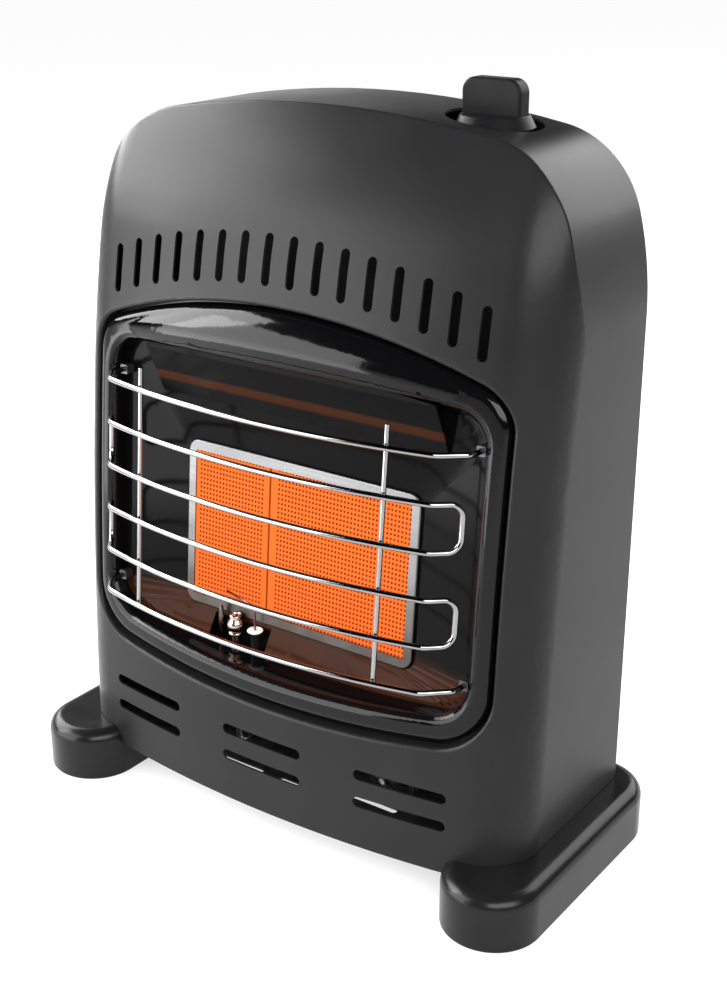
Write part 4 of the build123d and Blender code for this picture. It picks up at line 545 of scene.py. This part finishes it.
turned_brass = new_finish("turned_brass", (0.72, 0.48, 0.2), 0.26, 1.0)
vary_colour(turned_brass, (0.62, 0.4, 0.15), (0.78, 0.54, 0.25), 90)
vary_sheen(turned_brass, 0.2, 0.34, 160)
relief(turned_brass, cloudy(turned_brass, 2200, 1.0, (1, 0.1, 1)), 0.1, 0.0001)
coat(turned_brass, "gas_injector", "gas_inlet_fitting", "inlet_locknut", "tube_nuts", "valve_stem")

# ---------------------------------------------------------------- wire guard
# Bowed wires and hairpin loops with two uprights, spot welded and bright chrome plated. The
# ends sit in small black clips inside the bezel.
chrome = new_finish("bright_chrome", (0.27, 0.27, 0.275), 0.08, 1.0)
vary_sheen(chrome, 0.05, 0.13, 120)
relief(chrome, cloudy(chrome, 500, 1.0), 0.03, 0.0002)
smooth_skin(
    chrome, "guard_chrome",
    "guard_top_wire", "guard_upper_loop", "guard_lower_loop", "guard_bottom_wire",
    "guard_upright_left", "guard_upright_right",
    flats=False,
)
coat(black_zinc, "guard_clips")

# ---------------------------------------------------------------- heat shield
# Shield behind the firebox and the bent sheet that turns the hot air forwards, both of
# galvanised sheet, its colour painted almost black for the shade inside the casing.
# painted shade: the near-black colour stands for the shade these sheets sit in
shade_darkened_sheet = new_finish("sheet_painted_dark_for_shade", (0.012, 0.012, 0.012), 0.6, gloss=0.1)
vary_colour(shade_darkened_sheet, (0.005, 0.005, 0.005), (0.018, 0.017, 0.016), 25)
vary_sheen(shade_darkened_sheet, 0.5, 0.7, 40)
coat(shade_darkened_sheet, "heat_shield", "hot_air_deflector")

# ---------------------------------------------------------------- gas valve and control knob
# Die-cast valve under the top, and the moulded knob that presses and turns its stem. The knob's
# plastic is duller than that of the feet.
die_cast = new_finish("die_cast_alloy", (0.45, 0.45, 0.46), 0.45, 1.0)
vary_colour(die_cast, (0.38, 0.38, 0.39), (0.52, 0.52, 0.53), 120)
relief(die_cast, cloudy(die_cast, 1400), 0.3, 0.0002)
coat(die_cast, "valve_body")

knob_plastic = new_finish("knob_plastic", (0.005, 0.005, 0.0055), 0.3, gloss=0.06)
vary_colour(knob_plastic, (0.005, 0.005, 0.0055), (0.007, 0.007, 0.0075), 40)
vary_sheen(knob_plastic, 0.3, 0.4, 70)
relief(knob_plastic, cloudy(knob_plastic, 2600, 1.0), 0.08, 0.0001)
smooth_skin(knob_plastic, "knob_black", "control_knob", body="knob")

# ---------------------------------------------------------------- gas line and leads
# Aluminium tubes from the inlet to the valve and on to burner and pilot. The thermocouple's lead
# is bare copper and the igniter's is in a black sleeve.
aluminium = new_finish("aluminium_tube", (0.7, 0.71, 0.72), 0.3, 1.0)
vary_sheen(aluminium, 0.24, 0.4, 150)
relief(aluminium, cloudy(aluminium, 1600, 1.0), 0.08, 0.0001)
coat(aluminium, "supply_tube", "burner_tube", "pilot_tube")

copper = new_finish("copper_lead", (0.72, 0.33, 0.18), 0.32, 1.0)
vary_colour(copper, (0.6, 0.26, 0.13), (0.8, 0.4, 0.24), 70)
coat(copper, "thermocouple_lead")

sleeve = new_finish("lead_sleeve", (0.03, 0.03, 0.032), 0.5)
vary_sheen(sleeve, 0.42, 0.6, 200)
coat(sleeve, "igniter_lead")

# ---------------------------------------------------------------- pilot group
# Pilot nozzle, leaf-like thermocouple tip and ceramic spark insulator on a black bracket. The
# nozzle and tip are turned and chromed, tinted by the flame and sooted towards the bracket. A
# wire electrode stands in the insulator and bends over the flame.
PILOT_Y = -0.0438
PILOT_SEAT = 0.118
NOZZLE_X = -0.0437
TIP_X = -0.0557
INSULATOR_X = -0.0278
ELECTRODE_END_X = -0.0515
SOOT_TO = 0.1245
TIP_SOOT_TO = 0.1325
CERAMIC_SOOT_TO = 0.1302
TURNED_SHARP_FROM = math.radians(50)
NOZZLE_TURNS = (
    (3.2, 0.0), (3.2, 7.2), (4.8, 7.7), (5.3, 8.2), (5.3, 9.0), (4.9, 9.5), (4.5, 9.8),
    (4.6, 10.3), (5.2, 11.2), (5.8, 12.6), (6.1, 14.2), (5.9, 15.8), (5.2, 17.2), (4.3, 18.2),
    (4.1, 19.4), (4.3, 20.3), (4.0, 21.1), (3.4, 21.4), (2.9, 20.9), (2.7, 17.0),
)
TIP_TURNS = (
    (1.4, -6.0), (1.4, 8.0), (1.7, 9.4), (2.0, 12.0), (2.1, 15.0), (1.8, 19.0), (1.4, 22.5),
    (0.8, 25.0), (0.35, 25.8),
)
INSULATOR_TURNS = (
    (2.6, -10.0), (2.6, 0.0), (3.0, 0.1), (3.0, 11.0), (3.6, 12.8), (5.0, 13.7), (5.2, 14.2),
    (4.9, 14.6), (1.2, 14.8), (0.75, 14.5),
)


def turned(name, place_x, turns, material, node, facets=32):
    """A turned piece: a disc drawn upwards through its turns, each a radius and a height in mm."""
    bpy.ops.object.select_all(action="DESELECT")
    radius, height = (value / 1000 for value in turns[0])
    place = (place_x, PILOT_Y, PILOT_SEAT + height)
    bpy.ops.mesh.primitive_circle_add(
        vertices=facets, radius=radius, fill_type="NGON", location=place
    )
    piece = bpy.context.object
    piece.name = name
    bpy.ops.object.transform_apply(location=True, rotation=False, scale=False)
    bpy.ops.object.mode_set(mode="EDIT")
    bpy.ops.mesh.select_all(action="SELECT")
    for next_radius, next_height in turns[1:]:
        next_radius, next_height = next_radius / 1000, next_height / 1000
        bpy.ops.mesh.extrude_region_move(
            TRANSFORM_OT_translate={"value": (0, 0, next_height - height)}
        )
        grow = next_radius / radius
        bpy.ops.transform.resize(
            value=(grow, grow, 1), center_override=(place_x, PILOT_Y, PILOT_SEAT + next_height)
        )
        radius, height = next_radius, next_height
    bpy.ops.mesh.select_all(action="SELECT")
    bpy.ops.mesh.normals_make_consistent(inside=False)
    bpy.ops.object.mode_set(mode="OBJECT")
    bpy.ops.object.shade_smooth_by_angle(angle=TURNED_SHARP_FROM)
    piece.data.materials.append(material)
    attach(piece, "housing")
    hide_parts(node)


pilot_chrome = new_finish("flame_tinted_chrome", (0.42, 0.31, 0.26), 0.12, 1.0)
stain_and_reflection_low(pilot_chrome, (0.42, 0.31, 0.26), (0.05, 0.042, 0.04), SOOT_TO, 0.002)
vary_sheen(pilot_chrome, 0.1, 0.2, 200)
turned("pilot_nozzle", NOZZLE_X, NOZZLE_TURNS, pilot_chrome, "pilot_burner")

tip_chrome = new_finish("dark_tinted_chrome", (0.2, 0.13, 0.12), 0.2, 1.0)
stain_and_reflection_low(tip_chrome, (0.1, 0.085, 0.08), (0.06, 0.025, 0.02), TIP_SOOT_TO, 0.004)
vary_sheen(tip_chrome, 0.14, 0.26, 200)
turned("thermocouple_tip", TIP_X, TIP_TURNS, tip_chrome, "thermocouple")

glaze = new_finish("glazed_ceramic", (0.7, 0.7, 0.66), 0.3, gloss=0.1)
stain_and_reflection_low(
    glaze, (0.68, 0.68, 0.64), (0.006, 0.005, 0.0045), CERAMIC_SOOT_TO, 0.0015, blotchy=0.1
)
vary_sheen(glaze, 0.25, 0.36, 260)
turned(
    "spark_insulator", INSULATOR_X, INSULATOR_TURNS, glaze, "igniter_insulator"
)

bracket_black = new_finish("sooted_bracket", (0.002, 0.002, 0.002), 0.2, gloss=0.12)
vary_sheen(bracket_black, 0.15, 0.3, 90)
coat(bracket_black, "pilot_bracket")

electrode_steel = new_finish("heat_stained_electrode", (0.12, 0.05, 0.045), 0.3, 1.0)
vary_colour(electrode_steel, (0.1, 0.04, 0.035), (0.2, 0.11, 0.1), 160)
smooth_skin(electrode_steel, "screw_steel", "igniter_electrode")
# the wire, still the active piece, is cut to length over the flame
bpy.ops.object.mode_set(mode="EDIT")
bpy.ops.mesh.select_all(action="SELECT")
bpy.ops.mesh.bisect(
    plane_co=(ELECTRODE_END_X, 0, 0), plane_no=(-1, 0, 0), clear_outer=True, use_fill=True
)
bpy.ops.object.mode_set(mode="OBJECT")
